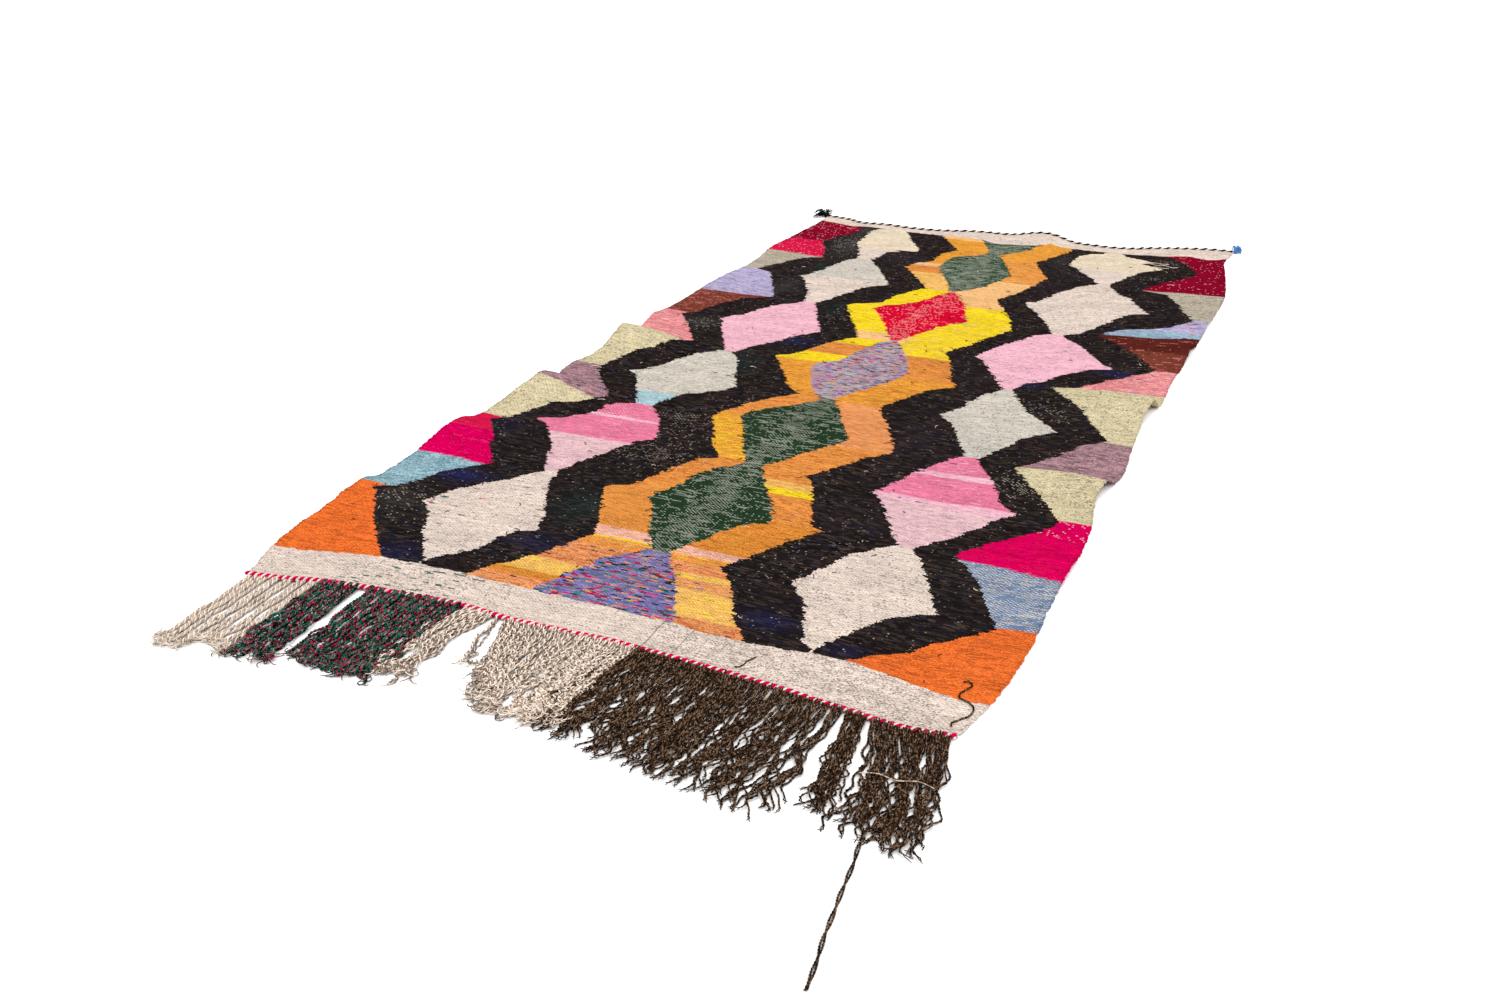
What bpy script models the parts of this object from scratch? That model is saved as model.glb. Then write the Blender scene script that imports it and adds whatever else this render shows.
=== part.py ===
"""A flat-woven boucherouite rug lying on a floor: the cloth with its edge folds, the twined rows at
both ends, the warp fringe in its five yarns, a long twisted tail and the loose ends at the corners.

Metres, +X to the right along the fringed front end, +Y towards the back end, +Z up. The tables
measure y from the front end of the cloth, and the origin is under the middle of the cloth, on the
floor.
"""

import math
from collections import namedtuple

import bmesh
import bpy
from mathutils import Matrix, Vector

# The woven cloth.
WOVEN_LENGTH = 2.80
CLOTH_THICKNESS = 0.004
COLUMNS = 16
ROWS = 112

# The clear space between touching pieces, and how near two points are that are the same one.
GAP = 0.0004
SAME_PLACE = 1e-6

# The twined rows that lock the last weft at each end. A row is as high as given along the cloth,
# and falls to a share of that along its outer side.
TWINING_DEPTH = 0.008
TWINING_LOW = 0.0036
TWINING_HIGH = 0.0054
TWINING_OUTER = 0.8
STITCH_SLANT = 0.0012
FRONT_STITCHES_PER_COLUMN = 10
BACK_STITCHES_PER_COLUMN = 6

# The fringe: each lock is a twisted warp end, or a few that lie together.
BACKING_DEPTH = 0.006
BACKING_HEIGHT = 0.004
LOCK_FILL = 0.74
LOCK_STEPS = 5
WAVE_LENGTH = 0.11
TIP_WIDTH = 0.62
TIP_HEIGHT = 0.55
RAGGED_TIPS = 0.008
RAGGED_TURN = 2.4

# The long tail, plied from two yarns.
TAIL_WIDTH = 0.0078
TAIL_WAIST = 0.0046
TAIL_TURN = 0.090
TAIL_SIDES = 10
STEPS_PER_TURN = 12
KNOT_LENGTH = 0.011
KNOT_SWELL = 1.5

# The yarn that strays over the front right corner.
YARN_WIDTH = 0.0034
YARN_STEPS = 30

# The knotted tufts at the back corners, and the yarn ends that spread from them.
TUFT_RADIUS = 0.007
TUFT_SIDES = 12
TUFT_HEIGHT = 0.008
YARN_END_HEIGHT = 0.006
YARN_END_STEPS = 3

# The side edges: y from the front end, and where the left and the right edge lie there.
Side = namedtuple("Side", "y left right")
SIDES = [
    Side(0.00, -0.640, 0.640),
    Side(0.14, -0.683, 0.666),
    Side(0.30, -0.699, 0.675),
    Side(0.45, -0.696, 0.670),
    Side(0.62, -0.698, 0.674),
    Side(0.76, -0.690, 0.668),
    Side(0.88, -0.697, 0.653),
    Side(1.03, -0.656, 0.672),
    Side(1.18, -0.685, 0.662),
    Side(1.32, -0.655, 0.658),
    Side(1.45, -0.658, 0.672),
    Side(1.62, -0.677, 0.669),
    Side(1.74, -0.670, 0.675),
    Side(2.00, -0.670, 0.681),
    Side(2.17, -0.649, 0.685),
    Side(2.36, -0.662, 0.684),
    Side(2.60, -0.650, 0.650),
    Side(2.70, -0.643, 0.634),
    Side(2.80, -0.648, 0.642),
]

# The end edges: x, and how far the front and the back edge lie from their straight lines there.
End = namedtuple("End", "x front back")
ENDS = [
    End(-0.65, 0.006, -0.012),
    End(-0.57, 0.020, -0.032),
    End(-0.50, 0.036, -0.068),
    End(-0.36, 0.052, -0.072),
    End(-0.22, 0.058, -0.058),
    End(-0.12, 0.050, -0.028),
    End(0.00, 0.052, -0.036),
    End(0.10, 0.050, -0.030),
    End(0.22, 0.041, -0.064),
    End(0.34, 0.030, -0.060),
    End(0.46, 0.015, -0.010),
    End(0.56, 0.002, 0.018),
    End(0.65, 0.010, 0.026),
]

# The folds that lift an edge: which edge, where the crest is along it, its rise, how far it runs
# before and after the crest, how far it reaches into the cloth, and how far its inner end drifts.
Fold = namedtuple("Fold", "edge crest rise before after reach drift")
FOLDS = [
    Fold("left", 0.40, 0.012, 0.14, 0.06, 0.22, 0.03),
    Fold("left", 0.71, 0.024, 0.16, 0.13, 0.26, -0.04),
    Fold("left", 1.02, 0.040, 0.16, 0.07, 0.30, 0.00),
    Fold("left", 1.40, 0.042, 0.16, 0.07, 0.34, 0.02),
    Fold("left", 1.60, 0.008, 0.08, 0.07, 0.20, 0.02),
    Fold("left", 2.36, 0.003, 0.12, 0.12, 0.24, 0.02),
    Fold("right", 0.58, 0.010, 0.12, 0.07, 0.24, 0.00),
    Fold("right", 0.94, 0.024, 0.14, 0.06, 0.30, 0.02),
    Fold("right", 1.39, 0.034, 0.16, 0.06, 0.38, 0.05),
    Fold("right", 1.84, 0.018, 0.14, 0.06, 0.34, 0.02),
    Fold("right", 2.08, 0.008, 0.10, 0.07, 0.22, 0.02),
    Fold("back", 0.06, 0.018, 0.15, 0.11, 0.24, -0.02),
    Fold("back", -0.44, 0.005, 0.12, 0.12, 0.18, 0.02),
]

# The fringe, bundle by bundle from the left. The first columns are where a bundle leaves the cloth
# and where its tips lie, then its number of locks, its height, how much it snakes, and how far its
# middle bows to the right.
Bundle = namedtuple(
    "Bundle", "root_left root_right tip_left tip_right left_tip right_tip locks height snake bow"
)
FRINGES = {
    "fringe_ecru": [
        Bundle(-0.636, -0.596, -0.628, -0.590, -0.216, -0.232, 4, 0.0060, 0.003, 0.002),
        Bundle(-0.590, -0.574, -0.581, -0.566, -0.228, -0.206, 2, 0.0055, 0.003, 0.002),
        Bundle(-0.568, -0.550, -0.556, -0.541, -0.196, -0.188, 2, 0.0055, 0.003, 0.000),
        Bundle(-0.544, -0.528, -0.529, -0.515, -0.192, -0.206, 2, 0.0055, 0.003, 0.000),
        Bundle(-0.522, -0.508, -0.510, -0.496, -0.198, -0.208, 2, 0.0055, 0.002, 0.000),
    ],
    "fringe_marl": [
        Bundle(-0.500, -0.428, -0.489, -0.410, -0.205, -0.208, 9, 0.0065, 0.003, 0.000),
        Bundle(-0.410, -0.374, -0.398, -0.365, -0.176, -0.182, 4, 0.0060, 0.002, 0.000),
        Bundle(-0.364, -0.224, -0.360, -0.236, -0.180, -0.190, 15, 0.0065, 0.003, -0.002),
    ],
    "fringe_grey": [
        Bundle(-0.217, -0.166, -0.229, -0.176, -0.165, -0.178, 6, 0.0065, 0.004, -0.004),
        Bundle(-0.156, -0.148, -0.124, -0.116, -0.138, -0.138, 1, 0.0040, 0.002, -0.004),
        Bundle(-0.140, -0.004, -0.092, -0.006, -0.136, -0.204, 18, 0.0060, 0.001, 0.000),
    ],
    "fringe_cream": [
        Bundle(0.003, 0.099, 0.003, 0.090, -0.172, -0.166, 12, 0.0060, 0.004, 0.000),
    ],
    "fringe_brown": [
        Bundle(0.107, 0.219, 0.100, 0.206, -0.176, -0.200, 14, 0.0055, 0.004, 0.000),
        Bundle(0.228, 0.348, 0.219, 0.306, -0.200, -0.216, 14, 0.0060, 0.004, 0.002),
        Bundle(0.358, 0.446, 0.319, 0.426, -0.218, -0.264, 11, 0.0060, 0.003, 0.004),
        Bundle(0.452, 0.466, 0.452, 0.468, -0.242, -0.250, 2, 0.0035, 0.006, 0.000),
        Bundle(0.470, 0.506, 0.516, 0.552, -0.196, -0.208, 5, 0.0065, 0.002, 0.000),
        Bundle(0.514, 0.634, 0.572, 0.678, -0.228, -0.256, 16, 0.0090, 0.002, 0.012),
    ],
}

# The long tail's route over the floor, from the fringe to its knotted end.
TAIL_ROUTE = [
    (0.5936, -0.2378), (0.597, -0.259), (0.600, -0.283), (0.605, -0.311), (0.608, -0.341),
    (0.611, -0.371), (0.615, -0.401), (0.618, -0.428), (0.620, -0.448), (0.624, -0.470),
    (0.628, -0.493), (0.631, -0.516), (0.634, -0.539),
]

# The stray yarn's route over the cloth, from the end of the fringe to its free end.
YARN_ROUTE = [
    (0.628, 0.026), (0.626, 0.036), (0.635, 0.050), (0.645, 0.066), (0.644, 0.084), (0.632, 0.098),
    (0.618, 0.104), (0.614, 0.116), (0.619, 0.132), (0.624, 0.146), (0.617, 0.153), (0.609, 0.150),
]

# The yarn ends of each tuft: the side of the knot that an end leaves, counted round from +X, its
# length, and how far its tip bends to the left.
YarnEnd = namedtuple("YarnEnd", "side length bend")
TUFTS = {
    "tuft_black": [
        YarnEnd(2, 0.030, 0.006),
        YarnEnd(3, 0.060, 0.008),
        YarnEnd(4, 0.046, -0.006),
        YarnEnd(5, 0.055, -0.010),
        YarnEnd(6, 0.070, 0.012),
    ],
    "tuft_blue": [
        YarnEnd(11, 0.020, 0.004),
        YarnEnd(1, 0.026, 0.004),
        YarnEnd(2, 0.018, 0.000),
        YarnEnd(3, 0.024, -0.004),
    ],
}

# Name, colour and roughness of each piece's yarn.
Finish = namedtuple("Finish", "colour roughness")
FINISHES = {
    "rug_weave": Finish((0.09, 0.07, 0.07), 0.95),
    "twining_red": Finish((0.55, 0.03, 0.13), 0.90),
    "twining_black": Finish((0.02, 0.02, 0.02), 0.90),
    "fringe_ecru": Finish((0.50, 0.42, 0.31), 0.95),
    "fringe_marl": Finish((0.10, 0.13, 0.11), 0.95),
    "fringe_grey": Finish((0.36, 0.31, 0.28), 0.95),
    "fringe_cream": Finish((0.66, 0.60, 0.52), 0.95),
    "fringe_brown": Finish((0.06, 0.045, 0.03), 0.95),
    "long_tail": Finish((0.09, 0.07, 0.05), 0.95),
    "stray_yarn": Finish((0.06, 0.045, 0.03), 0.95),
    "tuft_black": Finish((0.01, 0.01, 0.01), 0.95),
    "tuft_blue": Finish((0.10, 0.22, 0.55), 0.90),
}


def mix(start, end, share):
    return start + (end - start) * share


def smooth_value(rows, column, at):
    """The column's value at a place, on a smooth curve through the table's rows."""
    places = [row[0] for row in rows]
    at = min(max(at, places[0]), places[-1])
    i = max(k for k in range(len(rows) - 1) if places[k] <= at)
    before, after = max(i - 1, 0), min(i + 2, len(rows) - 1)
    start, end = getattr(rows[i], column), getattr(rows[i + 1], column)
    step = places[i + 1] - places[i]
    slope_start = (end - getattr(rows[before], column)) / (places[i + 1] - places[before])
    slope_end = (getattr(rows[after], column) - start) / (places[after] - places[i])
    t = (at - places[i]) / step
    return (
        (2 * t**3 - 3 * t**2 + 1) * start
        + (t**3 - 2 * t**2 + t) * step * slope_start
        + (3 * t**2 - 2 * t**3) * end
        + (t**3 - t**2) * step * slope_end
    )


def smooth_route(points, count):
    """Evenly counted points on a smooth curve through a route's own points."""
    last = len(points) - 1
    route = []
    for n in range(count + 1):
        place = last * n / count
        i = min(int(place), last - 1)
        t = place - i
        p = [Vector(points[min(max(i + k, 0), last)]) for k in (-1, 0, 1, 2)]
        route.append(
            0.5 * (2 * p[1] + (p[2] - p[0]) * t + (2 * p[0] - 5 * p[1] + 4 * p[2] - p[3]) * t**2
                   + (3 * p[1] - p[0] - 3 * p[2] + p[3]) * t**3)
        )
    return route


def bell(distance, before, after):
    """1 at the middle, easing to 0 over a stretch before it and one after it."""
    share = -distance / before if distance < 0 else distance / after
    return 0.5 + 0.5 * math.cos(math.pi * min(share, 1))


def fold_height(x, y, across, along):
    """How far the folds lift the cloth. across and along run from 0 to 1 between its edges."""
    height = 0.0
    for fold in FOLDS:
        if fold.edge == "back":
            inward, place = (1 - along) * WOVEN_LENGTH, x
        else:
            width = smooth_value(SIDES, "right", y) - smooth_value(SIDES, "left", y)
            inward, place = width * (across if fold.edge == "left" else 1 - across), y
        crest = fold.crest + fold.drift * inward / fold.reach
        along_edge = bell(place - crest, fold.before, fold.after)
        height += fold.rise * along_edge * bell(inward, fold.reach, fold.reach)
    return height


def cloth_point(across, along):
    """A point of the cloth's underside, by its share of the width and of the length."""
    x = mix(SIDES[0].left, SIDES[0].right, across)
    # The ends' lines depend on x and the sides' on y, so the place settles in a few passes.
    for _ in range(3):
        front = smooth_value(ENDS, "front", x)
        back = WOVEN_LENGTH + smooth_value(ENDS, "back", x)
        y = mix(front, back, along)
        x = mix(smooth_value(SIDES, "left", y), smooth_value(SIDES, "right", y), across)
    return Vector((x, y, fold_height(x, y, across, along)))


def end_line(along):
    """The corners of the cloth's grid along one end, left to right."""
    return [cloth_point(column / COLUMNS, along) for column in range(COLUMNS + 1)]


def on_line(line, x):
    """The point of an end line at x: straight between the grid's corners, as the cloth's edge is."""
    i = max((k for k in range(COLUMNS) if line[k].x <= x), default=0)
    return line[i].lerp(line[i + 1], (x - line[i].x) / (line[i + 1].x - line[i].x))


def add_piece(name, bm, smooth=False):
    """Makes the mesh an object with its own yarn material, under the rug's origin."""
    bmesh.ops.recalc_face_normals(bm, faces=bm.faces)
    mesh = bpy.data.meshes.new(name)
    bm.to_mesh(mesh)
    bm.free()
    if smooth:
        mesh.shade_smooth()
    piece = bpy.data.objects.new(name, mesh)
    material = bpy.data.materials.new(name)
    material.use_nodes = True
    shader = material.node_tree.nodes["Principled BSDF"]
    shader.inputs["Base Color"].default_value = (*FINISHES[name].colour, 1)
    shader.inputs["Roughness"].default_value = FINISHES[name].roughness
    shader.inputs["Metallic"].default_value = 0
    mesh.materials.append(material)
    piece.parent = bpy.data.objects["rug_origin"]
    bpy.data.collections["boucherouite_rug"].objects.link(piece)


def grow(bm, face, old, new):
    """Extrudes a face whose corners are at old, and moves them to new."""
    made = bmesh.ops.extrude_face_region(bm, geom=[face, *face.edges, *face.verts])["geom"]
    end = next(item for item in made if isinstance(item, bmesh.types.BMFace))
    for vert in end.verts:
        vert.co = new[min(range(len(old)), key=lambda i: (vert.co - old[i]).length)]
    return end


def loft(bm, sections):
    """A closed bar through sections that all have the same number of corners."""
    face = bm.faces.new([bm.verts.new(corner) for corner in sections[0]])
    for old, new in zip(sections, sections[1:]):
        face = grow(bm, face, old, new)


def make_cloth():
    """The woven cloth with its plain end bands, one sheet on its folds."""
    bm = bmesh.new()
    bmesh.ops.create_grid(bm, x_segments=COLUMNS, y_segments=ROWS, size=0.5)
    for vert in bm.verts:
        vert.co = cloth_point(vert.co.x + 0.5, vert.co.y + 0.5)
    made = bmesh.ops.extrude_face_region(bm, geom=list(bm.faces))["geom"]
    top = [item for item in made if isinstance(item, bmesh.types.BMVert)]
    bmesh.ops.translate(bm, vec=(0, 0, CLOTH_THICKNESS), verts=top)
    add_piece("rug_weave", bm)


def twining_section(line, x, near, height):
    """One section across a twined row, which slants from the cloth's side to the outer side."""
    outward = math.copysign(TWINING_DEPTH, near)
    inner = on_line(line, x) + Vector((0, near, 0))
    slant = STITCH_SLANT * (height - TWINING_LOW) / (TWINING_HIGH - TWINING_LOW)
    x_out = min(max(x + slant, line[0].x), line[-1].x)
    outer = on_line(line, x_out) + Vector((0, near + outward, 0))
    rise = Vector((0, 0, height))
    return [inner, outer, outer + TWINING_OUTER * rise, inner + rise]


def make_twining(name, along, near, stitches_per_column):
    """A twined row along one end of the cloth, with each stitch raised."""
    line = end_line(along)
    sections = []
    for left, right in zip(line, line[1:]):
        for n in range(stitches_per_column):
            valley = mix(left.x, right.x, n / stitches_per_column)
            crest = mix(left.x, right.x, (n + 0.5) / stitches_per_column)
            sections.append(twining_section(line, valley, near, TWINING_LOW))
            sections.append(twining_section(line, crest, near, TWINING_HIGH))
    sections.append(twining_section(line, line[-1].x, near, TWINING_LOW))
    bm = bmesh.new()
    loft(bm, sections)
    add_piece(name, bm)


def lock_sections(root, tip, root_width, tip_pitch, bundle, phase):
    """The four-sided sections of one lock, from its root on the backing to its tip on the floor."""
    points = []
    for step in range(LOCK_STEPS + 1):
        share = step / LOCK_STEPS
        y = mix(root.y, tip.y, share)
        sway = bundle.snake * share * math.sin(math.tau * y / WAVE_LENGTH + phase)
        sway += bundle.bow * math.sin(math.pi * share)
        points.append(Vector((mix(root.x, tip.x, share) + sway, y, 0)))
    sections = []
    for step, point in enumerate(points):
        share = step / LOCK_STEPS
        before, after = points[max(step - 1, 0)], points[min(step + 1, LOCK_STEPS)]
        run = (after - before).normalized() if step else Vector((0, -1, 0))
        side = Vector((-run.y, run.x, 0))
        width = mix(root_width, LOCK_FILL * tip_pitch * abs(run.y), share)
        rise = mix(BACKING_HEIGHT, bundle.height, min(2 * share, 1))
        if step == LOCK_STEPS:
            width, rise = width * TIP_WIDTH, rise * TIP_HEIGHT
        left, right, up = point - side * width / 2, point + side * width / 2, Vector((0, 0, rise))
        sections.append([left, right, right + up, left + up])
    return sections


def backing_section(line, x):
    """One section across a fringe's backing strip, which lies along the red row."""
    inner = on_line(line, x) - Vector((0, 2 * GAP + TWINING_DEPTH, 0))
    outer = inner - Vector((0, BACKING_DEPTH, 0))
    inner.z = outer.z = 0.0
    up = Vector((0, 0, BACKING_HEIGHT))
    return [inner, outer, outer + up, inner + up]


def make_fringe(name, line, left_end, right_end):
    """One yarn's fringe: its backing strip and the locks that leave it."""
    stations, locks = [left_end], []
    for number, bundle in enumerate(FRINGES[name]):
        pitch = (bundle.root_right - bundle.root_left) / bundle.locks
        tip_pitch = (bundle.tip_right - bundle.tip_left) / bundle.locks
        for n in range(bundle.locks):
            middle = bundle.root_left + (n + 0.5) * pitch
            stations += [middle - LOCK_FILL * pitch / 2, middle + LOCK_FILL * pitch / 2]
            share = (n + 0.5) / bundle.locks
            ragged = RAGGED_TIPS * math.sin(RAGGED_TURN * n + number)
            tip = Vector((
                bundle.tip_left + (n + 0.5) * tip_pitch,
                mix(bundle.left_tip, bundle.right_tip, share) + ragged,
                0,
            ))
            locks.append((len(stations) - 2, tip, tip_pitch, bundle, number))
    stations.append(right_end)
    # The strip turns where the cloth's edge does, so the nearest station moves to each corner.
    for corner in line[1:-1]:
        if left_end < corner.x < right_end:
            nearest = min(range(1, len(stations) - 1), key=lambda i: abs(stations[i] - corner.x))
            stations[nearest] = corner.x
    bm = bmesh.new()
    sections = [backing_section(line, x) for x in stations]
    loft(bm, sections)
    bm.faces.ensure_lookup_table()
    for station, tip, tip_pitch, bundle, phase in locks:
        corners = [sections[station][1], sections[station + 1][1],
                   sections[station + 1][2], sections[station][2]]
        face = next(face for face in bm.faces
                    if all(any((vert.co - corner).length < SAME_PLACE for vert in face.verts)
                           for corner in corners))
        root = (corners[0] + corners[1]) / 2
        width = corners[1].x - corners[0].x
        old = corners
        for new in lock_sections(root, tip, width, tip_pitch, bundle, phase)[1:]:
            face = grow(bm, face, old, new)
            old = new
    add_piece(name, bm)


def make_fringes():
    """All five fringes, side by side along the red row."""
    line = end_line(0)
    names = list(FRINGES)
    left_end = line[0].x
    for name, following in zip(names, names[1:] + [None]):
        right_end = line[-1].x
        if following:
            right_end = (FRINGES[name][-1].root_right + FRINGES[following][0].root_left - GAP) / 2
        make_fringe(name, line, left_end, right_end)
        left_end = right_end + GAP


def plied_section(point, run, angle, swell):
    """A section across two yarns that lie together, turned by their twist, resting on the floor."""
    side = run.cross(Vector((0, 0, 1))).normalized()
    section = []
    for n in range(TAIL_SIDES):
        turn = math.tau * n / TAIL_SIDES
        across, up = TAIL_WIDTH / 2 * math.cos(turn), TAIL_WAIST / 2 * math.sin(turn)
        u = across * math.cos(angle) - up * math.sin(angle)
        v = across * math.sin(angle) + up * math.cos(angle)
        section.append(point + swell * (side * u + Vector((0, 0, v))))
    lowest = min(corner.z for corner in section)
    return [corner - Vector((0, 0, lowest)) for corner in section]


def make_tail():
    """The long tail of two plied yarns, with the knot at its end."""
    length = sum(math.dist(a, b) for a, b in zip(TAIL_ROUTE, TAIL_ROUTE[1:]))
    count = round(length / TAIL_TURN * STEPS_PER_TURN)
    route = smooth_route([(x, y, 0) for x, y in TAIL_ROUTE], count)
    sections = []
    for n, point in enumerate(route):
        run = (route[min(n + 1, count)] - route[max(n - 1, 0)]).normalized()
        to_end = (count - n) * length / count
        swell = 1 + (KNOT_SWELL - 1) * bell(to_end - KNOT_LENGTH, KNOT_LENGTH, KNOT_LENGTH)
        sections.append(plied_section(point, run, math.tau * n / STEPS_PER_TURN, swell))
    bm = bmesh.new()
    loft(bm, sections)
    add_piece("long_tail", bm, smooth=True)


def cloth_top(x, y):
    """The height of the cloth's upper face near the right edge."""
    left, right = smooth_value(SIDES, "left", y), smooth_value(SIDES, "right", y)
    return fold_height(x, y, (x - left) / (right - left), y / WOVEN_LENGTH) + CLOTH_THICKNESS


def make_stray_yarn():
    """The dark yarn that strays from the fringe over the cloth's right corner."""
    curve = bpy.data.curves.new("stray_yarn", "CURVE")
    curve.dimensions = "3D"
    curve.bevel_depth = YARN_WIDTH / 2
    curve.bevel_resolution = 1
    curve.use_fill_caps = True
    spline = curve.splines.new("POLY")
    route = smooth_route([(x, y, 0) for x, y in YARN_ROUTE], YARN_STEPS)
    spline.points.add(len(route) - 1)
    for point, place in zip(spline.points, route):
        height = cloth_top(place.x, place.y) + GAP + YARN_WIDTH / 2
        point.co = (place.x, place.y, height, 1)
    guide = bpy.data.objects.new("stray_yarn_guide", curve)
    bpy.context.scene.collection.objects.link(guide)
    shape = guide.evaluated_get(bpy.context.evaluated_depsgraph_get())
    mesh = bpy.data.meshes.new_from_object(shape)
    bpy.data.objects.remove(guide)
    bm = bmesh.new()
    bm.from_mesh(mesh)
    bpy.data.meshes.remove(mesh)
    bmesh.ops.remove_doubles(bm, verts=bm.verts, dist=SAME_PLACE)
    add_piece("stray_yarn", bm, smooth=True)


def make_tuft(name, centre):
    """A knot of yarn on the floor at a corner of the cloth, with its loose ends spread out."""
    bm = bmesh.new()
    bmesh.ops.create_cone(
        bm, cap_ends=True, segments=TUFT_SIDES, radius1=TUFT_RADIUS, radius2=TUFT_RADIUS,
        depth=TUFT_HEIGHT, matrix=Matrix.Translation(centre + Vector((0, 0, TUFT_HEIGHT / 2))),
    )
    sides = [face for face in bm.faces if len(face.verts) == 4]
    roots = {}
    for end in TUFTS[name]:
        angle = math.tau * (end.side + 0.5) / TUFT_SIDES
        run = Vector((math.cos(angle), math.sin(angle), 0))
        face = max(sides, key=lambda side: (side.calc_center_median() - centre).dot(run))
        roots[end] = (face, run)
    for end, (face, run) in roots.items():
        across = Vector((-run.y, run.x, 0))
        old = root = [vert.co.copy() for vert in face.verts]
        for step in range(1, YARN_END_STEPS + 1):
            share = step / YARN_END_STEPS
            middle = centre + run * (TUFT_RADIUS + end.length * share)
            middle += across * end.bend * share**2
            width = mix(YARN_WIDTH, YARN_WIDTH / 2, share)
            height = mix(YARN_END_HEIGHT, YARN_END_HEIGHT / 2, share)
            new = [
                middle + across * math.copysign(width / 2, (corner - centre).dot(across))
                + Vector((0, 0, height if corner.z > TUFT_HEIGHT / 2 else 0))
                for corner in root
            ]
            face = grow(bm, face, old, new)
            old = new
    add_piece(name, bm)


def make_tufts():
    """The tuft at each back corner, clear of the cloth and of the black row."""
    line = end_line(1)
    reach = TUFT_RADIUS + GAP
    left, right = line[0], line[-1]
    make_tuft("tuft_black", Vector((left.x - reach, left.y + reach, 0)))
    make_tuft("tuft_blue", Vector((right.x + reach, right.y + reach, 0)))


def clear_scene():
    for thing in list(bpy.data.objects):
        bpy.data.objects.remove(thing, do_unlink=True)


def main():
    clear_scene()
    rug = bpy.data.collections.new("boucherouite_rug")
    bpy.context.scene.collection.children.link(rug)
    origin = bpy.data.objects.new("rug_origin", None)
    origin.location = (0, -WOVEN_LENGTH / 2, 0)
    rug.objects.link(origin)
    make_cloth()
    make_twining("twining_red", 0, -GAP, FRONT_STITCHES_PER_COLUMN)
    make_twining("twining_black", 1, GAP, BACK_STITCHES_PER_COLUMN)
    make_fringes()
    make_tail()
    make_stray_yarn()
    make_tufts()


main()
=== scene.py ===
"""The looks of a flat-woven boucherouite rug that lies on a floor.

The cloth keeps its solid's outline and folds on a finer grid, with a lower back fold and with small
waves. Its pattern is charted as the lines that part its colours and the colours between
them, and the material weaves them row by row. The fringe, the tail and the loose ends are plied
yarns. Metres, +Y from the fringed end to the plain one. The tables measure y from the fringed end.
"""

import math
import random
from collections import namedtuple

import bmesh
import bpy
import numpy as np
from bpy.props import (
    FloatProperty, FloatVectorProperty, IntProperty, PointerProperty,
)
from mathutils import Matrix


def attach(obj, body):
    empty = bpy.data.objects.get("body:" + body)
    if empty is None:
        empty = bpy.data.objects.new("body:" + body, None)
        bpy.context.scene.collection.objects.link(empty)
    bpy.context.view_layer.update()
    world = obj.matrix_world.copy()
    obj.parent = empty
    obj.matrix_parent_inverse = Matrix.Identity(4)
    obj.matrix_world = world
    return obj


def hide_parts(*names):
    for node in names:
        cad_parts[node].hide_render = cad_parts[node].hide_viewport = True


bl_info = {
    "name": "Boucherouite Rug",
    "version": (1, 0, 0),
    "blender": (4, 5, 0),
    "location": "View3D > Sidebar > Rug",
    "description": "Weaves a flat boucherouite rug with its twined rows, fringe and loose yarns",
    "category": "Object",
}

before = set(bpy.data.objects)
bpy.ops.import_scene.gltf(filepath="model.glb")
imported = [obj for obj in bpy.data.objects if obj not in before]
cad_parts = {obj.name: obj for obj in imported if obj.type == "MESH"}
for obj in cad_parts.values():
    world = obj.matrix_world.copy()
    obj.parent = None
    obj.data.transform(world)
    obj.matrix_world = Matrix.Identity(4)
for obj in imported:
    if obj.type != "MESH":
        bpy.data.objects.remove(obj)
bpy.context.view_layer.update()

WOVEN_LENGTH = 2.80
WOVEN_WIDTH = 1.34
TO_MIDDLE = WOVEN_LENGTH / 2

# The side edges: y from the front end, and where the left and the right edge lie there.
Side = namedtuple("Side", "y left right")
SIDES = [
    Side(0.00, -0.640, 0.640),
    Side(0.14, -0.683, 0.666),
    Side(0.30, -0.699, 0.675),
    Side(0.45, -0.696, 0.670),
    Side(0.62, -0.698, 0.674),
    Side(0.76, -0.690, 0.668),
    Side(0.88, -0.697, 0.653),
    Side(1.03, -0.656, 0.672),
    Side(1.18, -0.685, 0.662),
    Side(1.32, -0.655, 0.658),
    Side(1.45, -0.658, 0.672),
    Side(1.62, -0.677, 0.669),
    Side(1.74, -0.670, 0.675),
    Side(2.00, -0.670, 0.681),
    Side(2.17, -0.649, 0.685),
    Side(2.36, -0.662, 0.684),
    Side(2.60, -0.650, 0.650),
    Side(2.70, -0.643, 0.634),
    Side(2.80, -0.648, 0.642),
]

# The end edges: x, and how far the front and the back edge lie from their straight lines there.
End = namedtuple("End", "x front back")
ENDS = [
    End(-0.65, 0.006, -0.012),
    End(-0.57, 0.020, -0.032),
    End(-0.50, 0.036, -0.068),
    End(-0.36, 0.052, -0.072),
    End(-0.22, 0.058, -0.058),
    End(-0.12, 0.050, -0.028),
    End(0.00, 0.052, -0.036),
    End(0.10, 0.050, -0.030),
    End(0.22, 0.041, -0.064),
    End(0.34, 0.030, -0.060),
    End(0.46, 0.015, -0.010),
    End(0.56, 0.002, 0.018),
    End(0.65, 0.010, 0.026),
]

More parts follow.
